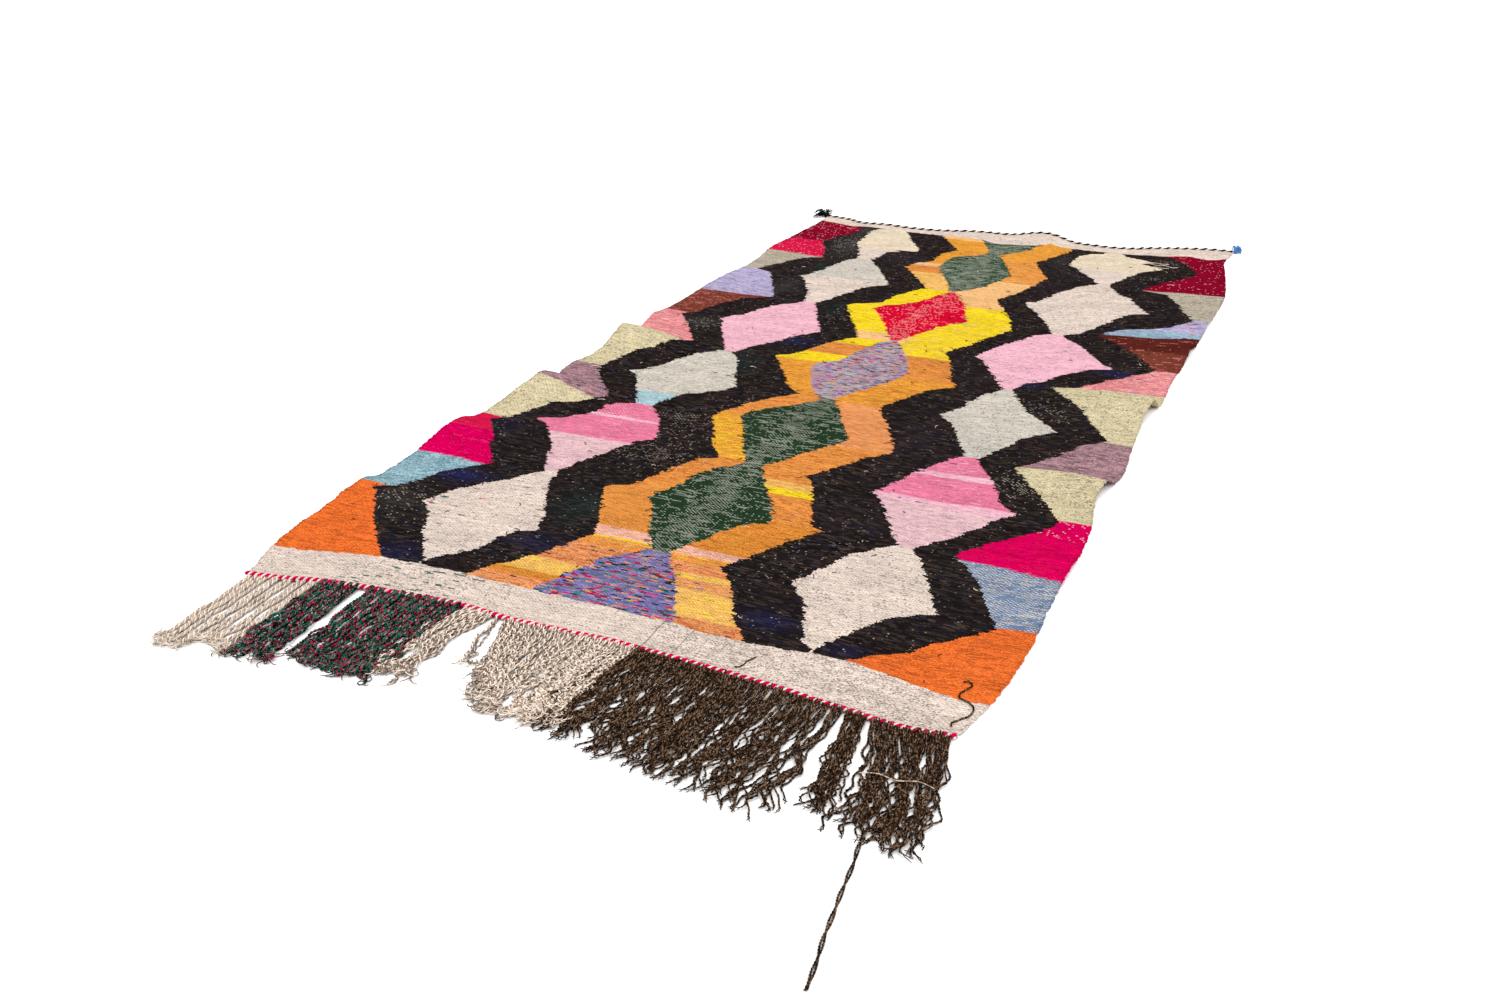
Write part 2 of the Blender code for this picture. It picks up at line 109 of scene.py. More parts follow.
# The folds that lift an edge: which edge, where the crest is along it, its rise, how far it runs
# before and after the crest, how far it reaches into the cloth, and how far its inner end drifts.
Fold = namedtuple("Fold", "edge crest rise before after reach drift")
FOLDS = [
    Fold("left", 0.40, 0.012, 0.14, 0.06, 0.22, 0.03),
    Fold("left", 0.71, 0.024, 0.16, 0.13, 0.26, -0.04),
    Fold("left", 1.02, 0.040, 0.16, 0.07, 0.30, 0.00),
    Fold("left", 1.40, 0.042, 0.16, 0.07, 0.34, 0.02),
    Fold("left", 1.60, 0.008, 0.08, 0.07, 0.20, 0.02),
    Fold("left", 2.36, 0.003, 0.12, 0.12, 0.24, 0.02),
    Fold("right", 0.58, 0.010, 0.12, 0.07, 0.24, 0.00),
    Fold("right", 0.94, 0.024, 0.14, 0.06, 0.30, 0.02),
    Fold("right", 1.39, 0.034, 0.16, 0.06, 0.38, 0.05),
    Fold("right", 1.84, 0.018, 0.14, 0.06, 0.34, 0.02),
    Fold("right", 2.08, 0.008, 0.10, 0.07, 0.22, 0.02),
    Fold("back", 0.10, 0.015, 0.17, 0.09, 0.24, -0.02),
    Fold("back", -0.44, 0.005, 0.12, 0.12, 0.18, 0.02),
]

# Small waves that the weaving leaves all over: their length across and along, half of their height,
# and where in its turn each starts.
Pucker = namedtuple("Pucker", "across along height start")
PUCKERS = [
    Pucker(0.34, 0.066, 0.0006, 0.3),
    Pucker(-0.41, 0.047, 0.0004, 1.9),
    Pucker(0.15, 0.17, 0.0004, 4.1),
    Pucker(-0.11, 0.13, 0.0003, 2.6),
    Pucker(0.52, 0.038, 0.0003, 5.2),
]

# The lines that part the pattern's columns, from left to right. Each point is (y, x).
LINES = {
    "left_patches": [
        (0.150, -0.462), (0.265, -0.569), (0.350, -0.629), (0.385, -0.656), (0.400, -0.622),
        (0.436, -0.608), (0.515, -0.590), (0.590, -0.516), (0.643, -0.558), (0.702, -0.587),
        (0.790, -0.652), (0.830, -0.625), (0.886, -0.604), (0.920, -0.572), (0.950, -0.515),
        (0.998, -0.475), (1.110, -0.556), (1.188, -0.610), (1.242, -0.602), (1.300, -0.577),
        (1.332, -0.535), (1.379, -0.504), (1.414, -0.466), (1.518, -0.526), (1.605, -0.583),
        (1.641, -0.612), (1.694, -0.581), (1.789, -0.549), (1.843, -0.514), (1.875, -0.450),
        (2.008, -0.507), (2.098, -0.556), (2.125, -0.608), (2.209, -0.567), (2.269, -0.539),
        (2.314, -0.477), (2.432, -0.515), (2.484, -0.547), (2.562, -0.519), (2.620, -0.485),
        (2.700, -0.484),
    ],
    "left_diamonds_from": [
        (0.175, -0.389), (0.264, -0.456), (0.345, -0.499), (0.380, -0.538), (0.450, -0.513),
        (0.509, -0.467), (0.564, -0.420), (0.602, -0.400), (0.646, -0.422), (0.736, -0.467),
        (0.818, -0.526), (0.843, -0.567), (0.873, -0.513), (0.905, -0.476), (0.982, -0.444),
        (1.003, -0.405), (1.064, -0.436), (1.141, -0.481), (1.177, -0.499), (1.196, -0.526),
        (1.218, -0.499), (1.296, -0.458), (1.377, -0.408), (1.407, -0.378), (1.491, -0.417),
        (1.573, -0.463), (1.618, -0.481), (1.653, -0.502), (1.700, -0.463), (1.800, -0.422),
        (1.868, -0.354), (1.964, -0.381), (2.055, -0.426), (2.105, -0.463), (2.133, -0.440),
        (2.224, -0.417), (2.306, -0.399), (2.337, -0.372), (2.406, -0.395), (2.506, -0.436),
        (2.596, -0.442), (2.656, -0.440), (2.678, -0.426), (2.696, -0.395), (2.720, -0.360),
    ],
    "left_diamonds_to": [
        (0.175, -0.386), (0.218, -0.349), (0.255, -0.322), (0.307, -0.314), (0.336, -0.299),
        (0.355, -0.264), (0.427, -0.294), (0.514, -0.343), (0.602, -0.374), (0.673, -0.354),
        (0.746, -0.326), (0.818, -0.294), (0.835, -0.272), (0.873, -0.285), (0.945, -0.317),
        (1.005, -0.368), (1.082, -0.349), (1.105, -0.335), (1.123, -0.304), (1.186, -0.246),
        (1.282, -0.290), (1.377, -0.326), (1.405, -0.356), (1.473, -0.331), (1.518, -0.299),
        (1.600, -0.254), (1.646, -0.217), (1.736, -0.263), (1.836, -0.304), (1.873, -0.325),
        (1.918, -0.299), (2.036, -0.258), (2.069, -0.244), (2.103, -0.195), (2.178, -0.231),
        (2.269, -0.286), (2.335, -0.328), (2.433, -0.317), (2.469, -0.308), (2.456, -0.276),
        (2.474, -0.236), (2.492, -0.231), (2.587, -0.286), (2.687, -0.340), (2.720, -0.355),
    ],
    "gold_from": [
        (0.130, -0.302), (0.191, -0.272), (0.268, -0.213), (0.309, -0.195), (0.382, -0.161),
        (0.464, -0.195), (0.541, -0.231), (0.573, -0.251), (0.591, -0.231), (0.605, -0.204),
        (0.632, -0.195), (0.750, -0.154), (0.777, -0.136), (0.795, -0.104), (0.855, -0.145),
        (0.936, -0.181), (1.009, -0.219), (1.064, -0.195), (1.136, -0.158), (1.191, -0.113),
        (1.202, -0.095), (1.255, -0.145), (1.336, -0.190), (1.434, -0.249), (1.459, -0.213),
        (1.518, -0.185), (1.586, -0.158), (1.636, -0.113), (1.709, -0.145), (1.805, -0.199),
        (1.886, -0.236), (1.914, -0.208), (1.945, -0.158), (2.027, -0.140), (2.116, -0.092),
        (2.196, -0.136), (2.305, -0.211), (2.360, -0.195), (2.371, -0.163), (2.483, -0.158),
        (2.537, -0.124), (2.606, -0.167), (2.690, -0.220), (2.720, -0.235),
    ],
    "centre_from": [
        (0.140, -0.162), (0.200, -0.136), (0.305, -0.099), (0.359, -0.044), (0.372, -0.040),
        (0.445, -0.081), (0.532, -0.122), (0.566, -0.147), (0.632, -0.122), (0.709, -0.108),
        (0.745, -0.086), (0.789, -0.044), (0.886, -0.090), (0.986, -0.136), (1.032, -0.163),
        (1.068, -0.149), (1.127, -0.086), (1.189, -0.036), (1.203, -0.050), (1.264, -0.090),
        (1.346, -0.122), (1.407, -0.142), (1.455, -0.096), (1.532, -0.072), (1.618, -0.049),
        (1.646, -0.032), (1.736, -0.072), (1.846, -0.131), (1.882, -0.156), (1.923, -0.145),
        (1.941, -0.104), (2.009, -0.058), (2.112, -0.016), (2.187, -0.049), (2.283, -0.099),
        (2.337, -0.122), (2.396, -0.122), (2.451, -0.115), (2.478, -0.090), (2.492, -0.063),
        (2.530, -0.030), (2.578, -0.040), (2.669, -0.086), (2.720, -0.115),
    ],
    "centre_to": [
        (0.140, 0.124), (0.264, 0.069), (0.350, 0.010), (0.372, 0.002), (0.455, 0.037),
        (0.514, 0.064), (0.532, 0.087), (0.556, 0.117), (0.632, 0.087), (0.682, 0.053),
        (0.789, -0.002), (0.855, 0.033), (0.945, 0.083), (0.991, 0.110), (1.055, 0.069),
        (1.146, 0.028), (1.200, -0.012), (1.236, 0.005), (1.314, 0.046), (1.391, 0.083),
        (1.423, 0.089), (1.473, 0.078), (1.591, 0.024), (1.648, -0.010), (1.736, 0.024),
        (1.827, 0.064), (1.862, 0.106), (1.914, 0.087), (2.000, 0.060), (2.113, -0.004),
        (2.165, 0.042), (2.260, 0.083), (2.324, 0.096), (2.406, 0.064), (2.478, 0.033),
        (2.532, 0.006), (2.601, 0.074), (2.655, 0.100), (2.720, 0.130),
    ],
    "gold_to": [
        (0.127, 0.256), (0.200, 0.205), (0.273, 0.169), (0.355, 0.110), (0.400, 0.137),
        (0.486, 0.174), (0.527, 0.201), (0.555, 0.222), (0.564, 0.196), (0.673, 0.151),
        (0.755, 0.119), (0.773, 0.094), (0.836, 0.133), (0.905, 0.169), (0.959, 0.216),
        (1.023, 0.192), (1.109, 0.151), (1.193, 0.101), (1.264, 0.133), (1.346, 0.174),
        (1.380, 0.224), (1.427, 0.196), (1.518, 0.169), (1.614, 0.124), (1.673, 0.160),
        (1.782, 0.201), (1.836, 0.228), (1.918, 0.205), (2.000, 0.165), (2.083, 0.124),
        (2.160, 0.155), (2.260, 0.183), (2.342, 0.196), (2.424, 0.155), (2.487, 0.128),
        (2.560, 0.155), (2.633, 0.192), (2.683, 0.197), (2.720, 0.200),
    ],
    "right_diamonds_from": [
        (0.150, 0.362), (0.173, 0.337), (0.286, 0.296), (0.350, 0.244), (0.386, 0.264),
        (0.482, 0.296), (0.541, 0.346), (0.552, 0.366), (0.623, 0.328), (0.718, 0.278),
        (0.759, 0.246), (0.791, 0.260), (0.900, 0.296), (0.991, 0.346), (0.996, 0.358),
        (1.064, 0.328), (1.150, 0.287), (1.204, 0.242), (1.277, 0.274), (1.364, 0.292),
        (1.404, 0.325), (1.432, 0.310), (1.518, 0.265), (1.591, 0.224), (1.609, 0.201),
        (1.709, 0.233), (1.836, 0.306), (1.852, 0.334), (1.918, 0.301), (2.009, 0.251),
        (2.085, 0.198), (2.105, 0.228), (2.205, 0.260), (2.296, 0.301), (2.334, 0.346),
        (2.387, 0.315), (2.478, 0.246), (2.506, 0.224), (2.596, 0.228), (2.646, 0.251),
        (2.652, 0.292), (2.678, 0.301), (2.720, 0.318),
    ],
    "right_diamonds_to": [
        (0.150, 0.364), (0.205, 0.387), (0.273, 0.424), (0.305, 0.451), (0.323, 0.478),
        (0.338, 0.508), (0.409, 0.474), (0.518, 0.419), (0.552, 0.390), (0.627, 0.451),
        (0.691, 0.483), (0.732, 0.501), (0.764, 0.528), (0.800, 0.487), (0.900, 0.442),
        (0.991, 0.386), (1.027, 0.401), (1.105, 0.433), (1.136, 0.442), (1.200, 0.496),
        (1.264, 0.442), (1.291, 0.410), (1.355, 0.374), (1.406, 0.346), (1.473, 0.365),
        (1.500, 0.401), (1.555, 0.424), (1.618, 0.478), (1.641, 0.526), (1.691, 0.483),
        (1.773, 0.424), (1.848, 0.356), (1.873, 0.396), (2.000, 0.442), (2.082, 0.474),
        (2.105, 0.528), (2.133, 0.506), (2.205, 0.465), (2.242, 0.450), (2.246, 0.424),
        (2.334, 0.374), (2.451, 0.410), (2.515, 0.442), (2.555, 0.487), (2.610, 0.451),
        (2.628, 0.433), (2.596, 0.402), (2.646, 0.365), (2.680, 0.342), (2.720, 0.320),
    ],
    "right_patches": [
        (0.145, 0.423), (0.172, 0.453), (0.197, 0.502), (0.247, 0.534), (0.301, 0.592),
        (0.328, 0.610), (0.395, 0.574), (0.469, 0.540), (0.558, 0.472), (0.645, 0.529),
        (0.699, 0.581), (0.762, 0.610), (0.844, 0.558), (0.906, 0.507), (0.965, 0.467),
        (1.065, 0.526), (1.150, 0.568), (1.190, 0.611), (1.260, 0.566), (1.330, 0.521),
        (1.383, 0.470), (1.455, 0.418), (1.490, 0.480), (1.554, 0.528), (1.608, 0.575),
        (1.668, 0.622), (1.735, 0.582), (1.778, 0.539), (1.863, 0.446), (1.909, 0.453),
        (1.954, 0.491), (2.002, 0.583), (2.073, 0.643), (2.215, 0.586), (2.304, 0.540),
        (2.324, 0.466), (2.429, 0.518), (2.533, 0.589), (2.617, 0.548), (2.680, 0.503),
        (2.700, 0.454), (2.740, 0.452),
    ],
}

# Where the plain end bands meet the pattern. Each point is (x, y).
FRONT_BAND = [
    (-0.700, 0.112), (-0.618, 0.118), (-0.543, 0.136), (-0.462, 0.154), (-0.288, 0.155),
    (-0.095, 0.150), (0.108, 0.142), (0.245, 0.132), (0.345, 0.137), (0.424, 0.142),
    (0.486, 0.130), (0.570, 0.110), (0.613, 0.102), (0.680, 0.108),
]
BACK_BAND = [
    (-0.650, 2.730), (-0.590, 2.717), (-0.530, 2.694), (-0.460, 2.690), (-0.340, 2.690),
    (-0.220, 2.688), (-0.099, 2.690), (-0.040, 2.650), (0.033, 2.642), (0.083, 2.652),
    (0.120, 2.682), (0.200, 2.684), (0.300, 2.678), (0.360, 2.684), (0.453, 2.696),
    (0.526, 2.730), (0.585, 2.706), (0.650, 2.745),
]

# A stretch of one colour column: where it starts at the column's inner end and at the cloth's edge,
# its two yarns, and how much of it is streaks and dots of the second yarn and flecks of many yarns.
Stretch = namedtuple("Stretch", "inner outer main second streaks dots flecks", defaults=(0.0,))


def level(start, *rest):
    """A stretch that starts at the same place right across its column."""
    return Stretch(start, start, *rest)


LEFT_PATCHES = [
    level(0.000, "orange", "rust", 0.14, 0.22),
    Stretch(0.380, 0.400, "pale_blue", "teal", 0.14, 0.40),
    Stretch(0.572, 0.586, "magenta", "rose", 0.03, 0.05),
    Stretch(0.716, 0.700, "crimson", "rose", 0.05, 0.08),
    Stretch(0.788, 0.822, "straw", "stone", 0.00, 0.10),
    Stretch(0.973, 1.006, "mauve", "plum", 0.22, 0.34, 0.01),
    Stretch(1.190, 1.209, "straw", "stone", 0.00, 0.14),
    Stretch(1.396, 1.415, "salmon", "blush", 0.26, 0.26, 0.02),
    Stretch(1.641, 1.672, "russet", "salmon", 0.08, 0.10),
    Stretch(1.872, 1.881, "lavender", "violet", 0.24, 0.16, 0.02),
    Stretch(2.125, 2.122, "linen", "stone", 0.00, 0.14),
    Stretch(2.316, 2.327, "crimson", "blush", 0.01, 0.06),
    Stretch(2.486, 2.492, "wine", "blush", 0.01, 0.08),
]
RIGHT_PATCHES = [
    level(0.000, "orange", "rust", 0.14, 0.22),
    Stretch(0.323, 0.341, "sky", "pearl", 0.12, 0.55),
    Stretch(0.542, 0.520, "magenta", "crimson", 0.20, 0.10),
    Stretch(0.704, 0.690, "magenta", "blush", 0.01, 0.10),
    Stretch(0.762, 0.773, "straw", "stone", 0.00, 0.12),
    Stretch(0.976, 0.930, "mauve", "plum", 0.24, 0.34, 0.01),
    Stretch(1.190, 1.180, "straw", "stone", 0.00, 0.12),
    Stretch(1.486, 1.505, "salmon", "blush", 0.26, 0.26, 0.02),
    Stretch(1.665, 1.668, "russet", "salmon", 0.04, 0.05),
    Stretch(1.790, 1.780, "umber", "salmon", 0.02, 0.03),
    Stretch(1.895, 1.944, "pale_blue", "violet", 0.24, 0.20, 0.04),
    Stretch(1.975, 1.985, "lavender", "violet", 0.26, 0.18, 0.02),
    level(2.072, "linen", "stone", 0.00, 0.18),
    Stretch(2.325, 2.342, "wine", "blush", 0.01, 0.04),
]
LEFT_DIAMONDS = [
    level(0.000, "cream", "stone", 0.00, 0.05, 0.01),
    level(0.604, "pale_pink", "linen", 0.04, 0.05),
    level(0.792, "hot_pink", "pale_pink", 0.02, 0.03),
    level(0.911, "pink", "pale_pink", 0.10, 0.05),
    level(0.923, "hot_pink", "pale_pink", 0.02, 0.03),
    level(1.005, "ice", "teal", 0.03, 0.05),
    level(1.088, "pale_grey", "stone", 0.00, 0.10),
    level(1.407, "pink", "stone", 0.00, 0.02),
    level(1.873, "cream", "stone", 0.00, 0.07),
    level(2.120, "pearl", "stone", 0.00, 0.07),
    level(2.340, "cream", "stone", 0.00, 0.03),
    level(2.455, "buff", "cream", 0.10, 0.03),
]
RIGHT_DIAMONDS = [
    level(0.000, "cream", "stone", 0.00, 0.08),
    level(0.553, "pale_pink", "linen", 0.04, 0.06),
    level(0.738, "pink", "pale_pink", 0.12, 0.06),
    level(0.768, "hot_pink", "pale_pink", 0.03, 0.03),
    level(0.876, "pink", "pale_pink", 0.14, 0.04),
    level(0.902, "hot_pink", "pink", 0.10, 0.03),
    level(0.997, "pearl", "stone", 0.00, 0.10),
    level(1.160, "pale_grey", "stone", 0.00, 0.10),
    level(1.405, "pink", "stone", 0.00, 0.02),
    level(1.850, "cream", "stone", 0.00, 0.10),
    level(2.334, "cream", "pearl", 0.06, 0.03),
    level(2.478, "buff", "cream", 0.10, 0.03),
]
LEFT_GOLD = [
    level(0.000, "apricot", "rust", 0.20, 0.10, 0.03),
    level(0.188, "ochre", "rust", 0.10, 0.08),
    level(0.212, "honey", "gold", 0.10, 0.06),
    level(0.262, "apricot", "rust", 0.22, 0.14, 0.05),
    level(0.345, "amber", "honey", 0.20, 0.05),
    level(0.378, "gold", "amber", 0.20, 0.05),
    level(0.386, "faded_pink", "apricot", 0.15, 0.05),
    level(0.424, "amber", "ochre", 0.30, 0.10),
    level(0.600, "amber", "rust", 0.08, 0.08),
    level(0.805, "marigold", "gold", 0.25, 0.05),
    level(1.040, "amber", "rust", 0.08, 0.06),
    level(1.202, "marigold", "rust", 0.08, 0.05),
    level(1.424, "gold", "marigold", 0.06, 0.04),
    level(1.492, "amber", "rust", 0.10, 0.06),
    level(1.582, "gold", "marigold", 0.12, 0.04),
    level(1.636, "peach", "honey", 0.15, 0.05),
    level(1.692, "gold", "honey", 0.05, 0.03),
    level(2.114, "honey", "peach", 0.25, 0.05),
    level(2.268, "amber", "rust", 0.08, 0.05),
    level(2.338, "peach", "cream", 0.30, 0.05),
    level(2.368, "marigold", "ochre", 0.10, 0.05),
    level(2.660, "peach", "honey", 0.30, 0.05),
]
RIGHT_GOLD = [
    level(0.000, "apricot", "rust", 0.20, 0.12, 0.03),
    level(0.168, "honey", "gold", 0.12, 0.06),
    level(0.258, "apricot", "honey", 0.22, 0.14, 0.05),
    level(0.294, "honey", "gold", 0.20, 0.05),
    level(0.310, "apricot", "rust", 0.20, 0.12),
    level(0.350, "amber", "gold", 0.20, 0.05),
    level(0.374, "faded_pink", "apricot", 0.20, 0.06),
    level(0.402, "ochre", "rust", 0.12, 0.12),
    level(0.560, "amber", "rust", 0.08, 0.10),
    level(0.676, "gold", "amber", 0.06, 0.05),
    level(0.704, "honey", "amber", 0.25, 0.06),
    level(0.738, "amber", "rust", 0.08, 0.08),
    level(0.950, "apricot", "amber", 0.20, 0.10),
    level(1.190, "marigold", "rust", 0.14, 0.08),
    level(1.400, "amber", "rust", 0.12, 0.06),
    level(1.552, "gold", "honey", 0.20, 0.04),
    level(1.800, "gold", "peach", 0.16, 0.05),
    level(1.866, "gold", "honey", 0.04, 0.03),
    level(1.992, "peach", "honey", 0.28, 0.06),
    level(2.255, "amber", "honey", 0.20, 0.06),
    level(2.480, "marigold", "amber", 0.25, 0.05),
]
CENTRE = [
    level(0.000, "purple", "heather", 0.25, 0.20, 0.55),
    level(0.366, "bottle_green", "lichen", 0.16, 0.44),
    level(0.790, "bottle_green", "lichen", 0.14, 0.40),
    level(1.202, "heather", "pearl", 0.10, 0.30, 0.34),
    level(1.647, "red", "blush", 0.03, 0.24),
    level(2.112, "moss", "lichen", 0.24, 0.52),
    level(2.532, "moss", "lichen", 0.24, 0.40),
]

# Soft spots of another colour in the black field: the middle, the half sizes and how strong.
Spot = namedtuple("Spot", "x y wide long share")
FIELD_SPOTS = {
    "navy": [
        Spot(-0.54, 0.515, 0.060, 0.030, 1.0),
        Spot(-0.45, 0.180, 0.050, 0.035, 0.55),
        Spot(-0.24, 0.310, 0.060, 0.030, 0.45),
        Spot(0.26, 0.210, 0.050, 0.030, 0.6),
        Spot(0.41, 0.170, 0.030, 0.020, 0.5),
        Spot(-0.62, 0.780, 0.060, 0.060, 0.25),
        Spot(-0.24, 1.550, 0.050, 0.030, 0.7),
        Spot(0.38, 1.450, 0.030, 0.030, 0.6),
        Spot(0.54, 1.615, 0.050, 0.020, 0.8),
    ],
    "aubergine": [
        Spot(-0.26, 2.400, 0.060, 0.060, 0.8),
        Spot(0.26, 2.410, 0.060, 0.050, 0.7),
        Spot(0.26, 0.620, 0.090, 0.050, 0.4),
        Spot(0.24, 1.060, 0.050, 0.140, 0.5),
        Spot(0.27, 1.480, 0.060, 0.080, 0.45),
        Spot(0.21, 2.250, 0.040, 0.070, 0.5),
        Spot(-0.50, 2.220, 0.050, 0.070, 0.35),
    ],
    "deep_teal": [
        Spot(-0.24, 0.480, 0.060, 0.080, 0.45),
        Spot(-0.30, 1.340, 0.040, 0.060, 0.55),
        Spot(-0.25, 1.850, 0.030, 0.060, 0.45),
        Spot(-0.44, 2.210, 0.012, 0.030, 1.0),
    ],
    "charcoal": [
        Spot(-0.44, 2.500, 0.060, 0.160, 0.8),
        Spot(-0.46, 1.980, 0.040, 0.080, 0.6),
        Spot(-0.53, 1.600, 0.040, 0.040, 0.8),
        Spot(-0.46, 2.650, 0.020, 0.040, 1.0),
        Spot(0.20, 2.530, 0.040, 0.080, 0.5),
        Spot(-0.59, 0.360, 0.060, 0.060, 0.4),
    ],
}

# Where linen dots show through the field.
PALE_SPOTS = [
    Spot(-0.59, 0.370, 0.060, 0.070, 0.20),
    Spot(-0.22, 0.760, 0.070, 0.050, 0.34),
    Spot(-0.62, 0.700, 0.040, 0.060, 0.16),
    Spot(-0.28, 0.970, 0.050, 0.025, 0.34),
    Spot(-0.18, 1.090, 0.040, 0.080, 0.10),
    Spot(-0.24, 0.900, 0.060, 0.080, 0.12),
    Spot(0.50, 0.890, 0.060, 0.050, 0.34),
    Spot(0.45, 1.310, 0.050, 0.030, 0.30),
    Spot(-0.22, 1.800, 0.040, 0.060, 0.12),
    Spot(-0.53, 1.590, 0.040, 0.040, 0.24),
    Spot(-0.47, 2.480, 0.060, 0.120, 0.16),
    Spot(0.48, 2.440, 0.030, 0.030, 0.16),
    Spot(0.48, 2.620, 0.030, 0.050, 0.24),
    Spot(0.20, 0.420, 0.060, 0.100, 0.05),
]

# The fringe, bundle by bundle from the left. The first columns are where a bundle leaves the cloth
# and where its tips lie, then its number of locks, how much it snakes, and how far its middle bows
# to the right.
Bundle = namedtuple(
    "Bundle", "root_left root_right tip_left tip_right left_tip right_tip locks snake bow"
)
FRINGES = {
    "fringe_ecru": [
        Bundle(-0.636, -0.596, -0.628, -0.590, -0.216, -0.232, 4, 0.003, 0.002),
        Bundle(-0.590, -0.574, -0.581, -0.566, -0.228, -0.206, 2, 0.003, 0.002),
        Bundle(-0.568, -0.550, -0.556, -0.541, -0.196, -0.188, 2, 0.003, 0.000),
        Bundle(-0.544, -0.528, -0.529, -0.515, -0.192, -0.206, 2, 0.003, 0.000),
        Bundle(-0.522, -0.508, -0.510, -0.496, -0.198, -0.208, 2, 0.002, 0.000),
    ],
    "fringe_marl": [
        Bundle(-0.500, -0.428, -0.489, -0.410, -0.205, -0.208, 9, 0.003, 0.000),
        Bundle(-0.410, -0.374, -0.398, -0.365, -0.176, -0.182, 4, 0.002, 0.000),
        Bundle(-0.364, -0.224, -0.360, -0.236, -0.180, -0.190, 18, 0.003, -0.002),
    ],
    "fringe_grey": [
        Bundle(-0.217, -0.160, -0.262, -0.176, -0.156, -0.160, 8, 0.006, -0.012),
        Bundle(-0.156, -0.150, -0.122, -0.114, -0.092, -0.098, 1, 0.004, -0.004),
        Bundle(-0.140, -0.004, -0.080, -0.006, -0.110, -0.190, 18, 0.002, 0.000),
    ],
    "fringe_cream": [
        Bundle(0.000, 0.108, -0.006, 0.092, -0.186, -0.168, 14, 0.004, 0.000),
    ],
    "fringe_brown": [
        Bundle(0.104, 0.120, 0.034, 0.066, -0.142, -0.168, 2, 0.006, 0.000),
        Bundle(0.104, 0.224, 0.080, 0.216, -0.190, -0.218, 15, 0.004, 0.000),
        Bundle(0.226, 0.350, 0.214, 0.312, -0.214, -0.236, 15, 0.004, 0.002),
        Bundle(0.354, 0.448, 0.316, 0.424, -0.232, -0.268, 11, 0.003, 0.004),
        Bundle(0.452, 0.470, 0.448, 0.476, -0.232, -0.244, 2, 0.008, 0.000),
        Bundle(0.474, 0.508, 0.506, 0.548, -0.204, -0.222, 5, 0.002, 0.000),
        Bundle(0.514, 0.634, 0.560, 0.664, -0.240, -0.262, 15, 0.002, 0.010),
    ],
}

# How each fringe is spun: strands in a lock, a strand's width, its plies, how far a twist runs, how
# flat it lies, how far it wanders, how long a strand's ends differ, its crimp, the frayed fibres at
# a tip, its steps, the height where it is fully lit, and the colours of the fibres in each ply.
Spin = namedtuple(
    "Spin", "strands width plies turn flat wander ragged crimp frays steps depth fibres"
)
SPINS = {
    "fringe_ecru": Spin(
        1, 0.0086, 4, 0.024, 0.60, 0.0026, 0.008, 0.0, 26, 80, 0.0085,
        (("ecru_light",), ("heather_grey", "ecru"), ("cream_yarn",), ("ecru",)),
    ),
    "fringe_marl": Spin(
        2, 0.0064, 2, 0.014, 0.80, 0.0044, 0.016, 0.0, 4, 80, 0.0120,
        (
            ("marl_green", "marl_red", "black_yarn", "marl_grey", "marl_green", "black_yarn"),
            ("marl_green", "black_yarn", "marl_red", "marl_green", "marl_pale", "black_yarn"),
        ),
    ),
    "fringe_grey": Spin(
        3, 0.0044, 2, 0.016, 1.00, 0.0052, 0.022, 0.0012, 5, 80, 0.0090,
        (("heather_grey",), ("ecru_light",), ("heather_grey", "ecru", "brown_light")),
    ),
    "fringe_cream": Spin(
        3, 0.0046, 2, 0.016, 1.00, 0.0064, 0.022, 0.0030, 6, 100, 0.0090,
        (("cream_yarn",), ("ecru", "heather_grey"), ("ecru_light", "ecru")),
    ),
    "fringe_brown": Spin(
        4, 0.0046, 2, 0.015, 1.00, 0.0080, 0.030, 0.0, 0, 42, 0.0080,
        (
            ("brown_yarn", "brown_dark", "brown_light", "brown_yarn"),
            ("brown_light", "brown_dark", "brown_yarn"),
        ),
    ),
}

# The long tail's route over the floor, from the fringe to its knotted end.
TAIL_ROUTE = [
    (0.5936, -0.2378), (0.597, -0.259), (0.600, -0.283), (0.605, -0.311), (0.608, -0.341),
    (0.611, -0.371), (0.615, -0.401), (0.618, -0.428), (0.620, -0.448), (0.624, -0.470),
    (0.628, -0.493), (0.631, -0.516), (0.634, -0.539),
]

# The stray yarn's route over the cloth, from the end of the fringe to its free end.
YARN_ROUTE = [
    (0.628, 0.026), (0.626, 0.036), (0.635, 0.050), (0.645, 0.066), (0.644, 0.084), (0.632, 0.098),
    (0.618, 0.104), (0.614, 0.116), (0.619, 0.132), (0.624, 0.146), (0.617, 0.153), (0.609, 0.150),
]

# The dark end that lies over the front band, and the pale yarn over the last bundle of the fringe.
DARK_END = [
    (0.292, 0.095), (0.288, 0.084), (0.284, 0.076), (0.283, 0.066), (0.279, 0.060), (0.272, 0.057),
]
PALE_YARN = [(0.548, -0.136), (0.572, -0.128), (0.600, -0.133), (0.628, -0.124), (0.652, -0.130)]

# Pale threads that hang off the last diamond on the right, and off patches on both sides.
PALE_THREADS = [
    [(0.440, 2.600), (0.462, 2.588), (0.484, 2.592), (0.505, 2.580), (0.520, 2.586)],
    [(0.430, 2.610), (0.452, 2.612), (0.470, 2.604), (0.492, 2.610)],
    [(0.455, 2.570), (0.478, 2.562), (0.498, 2.566)],
    [(-0.640, 1.196), (-0.628, 1.205), (-0.612, 1.198), (-0.600, 1.207)],
    [(-0.628, 1.186), (-0.612, 1.190), (-0.598, 1.184)],
    [(0.600, 0.920), (0.618, 0.928), (0.634, 0.920)],
]

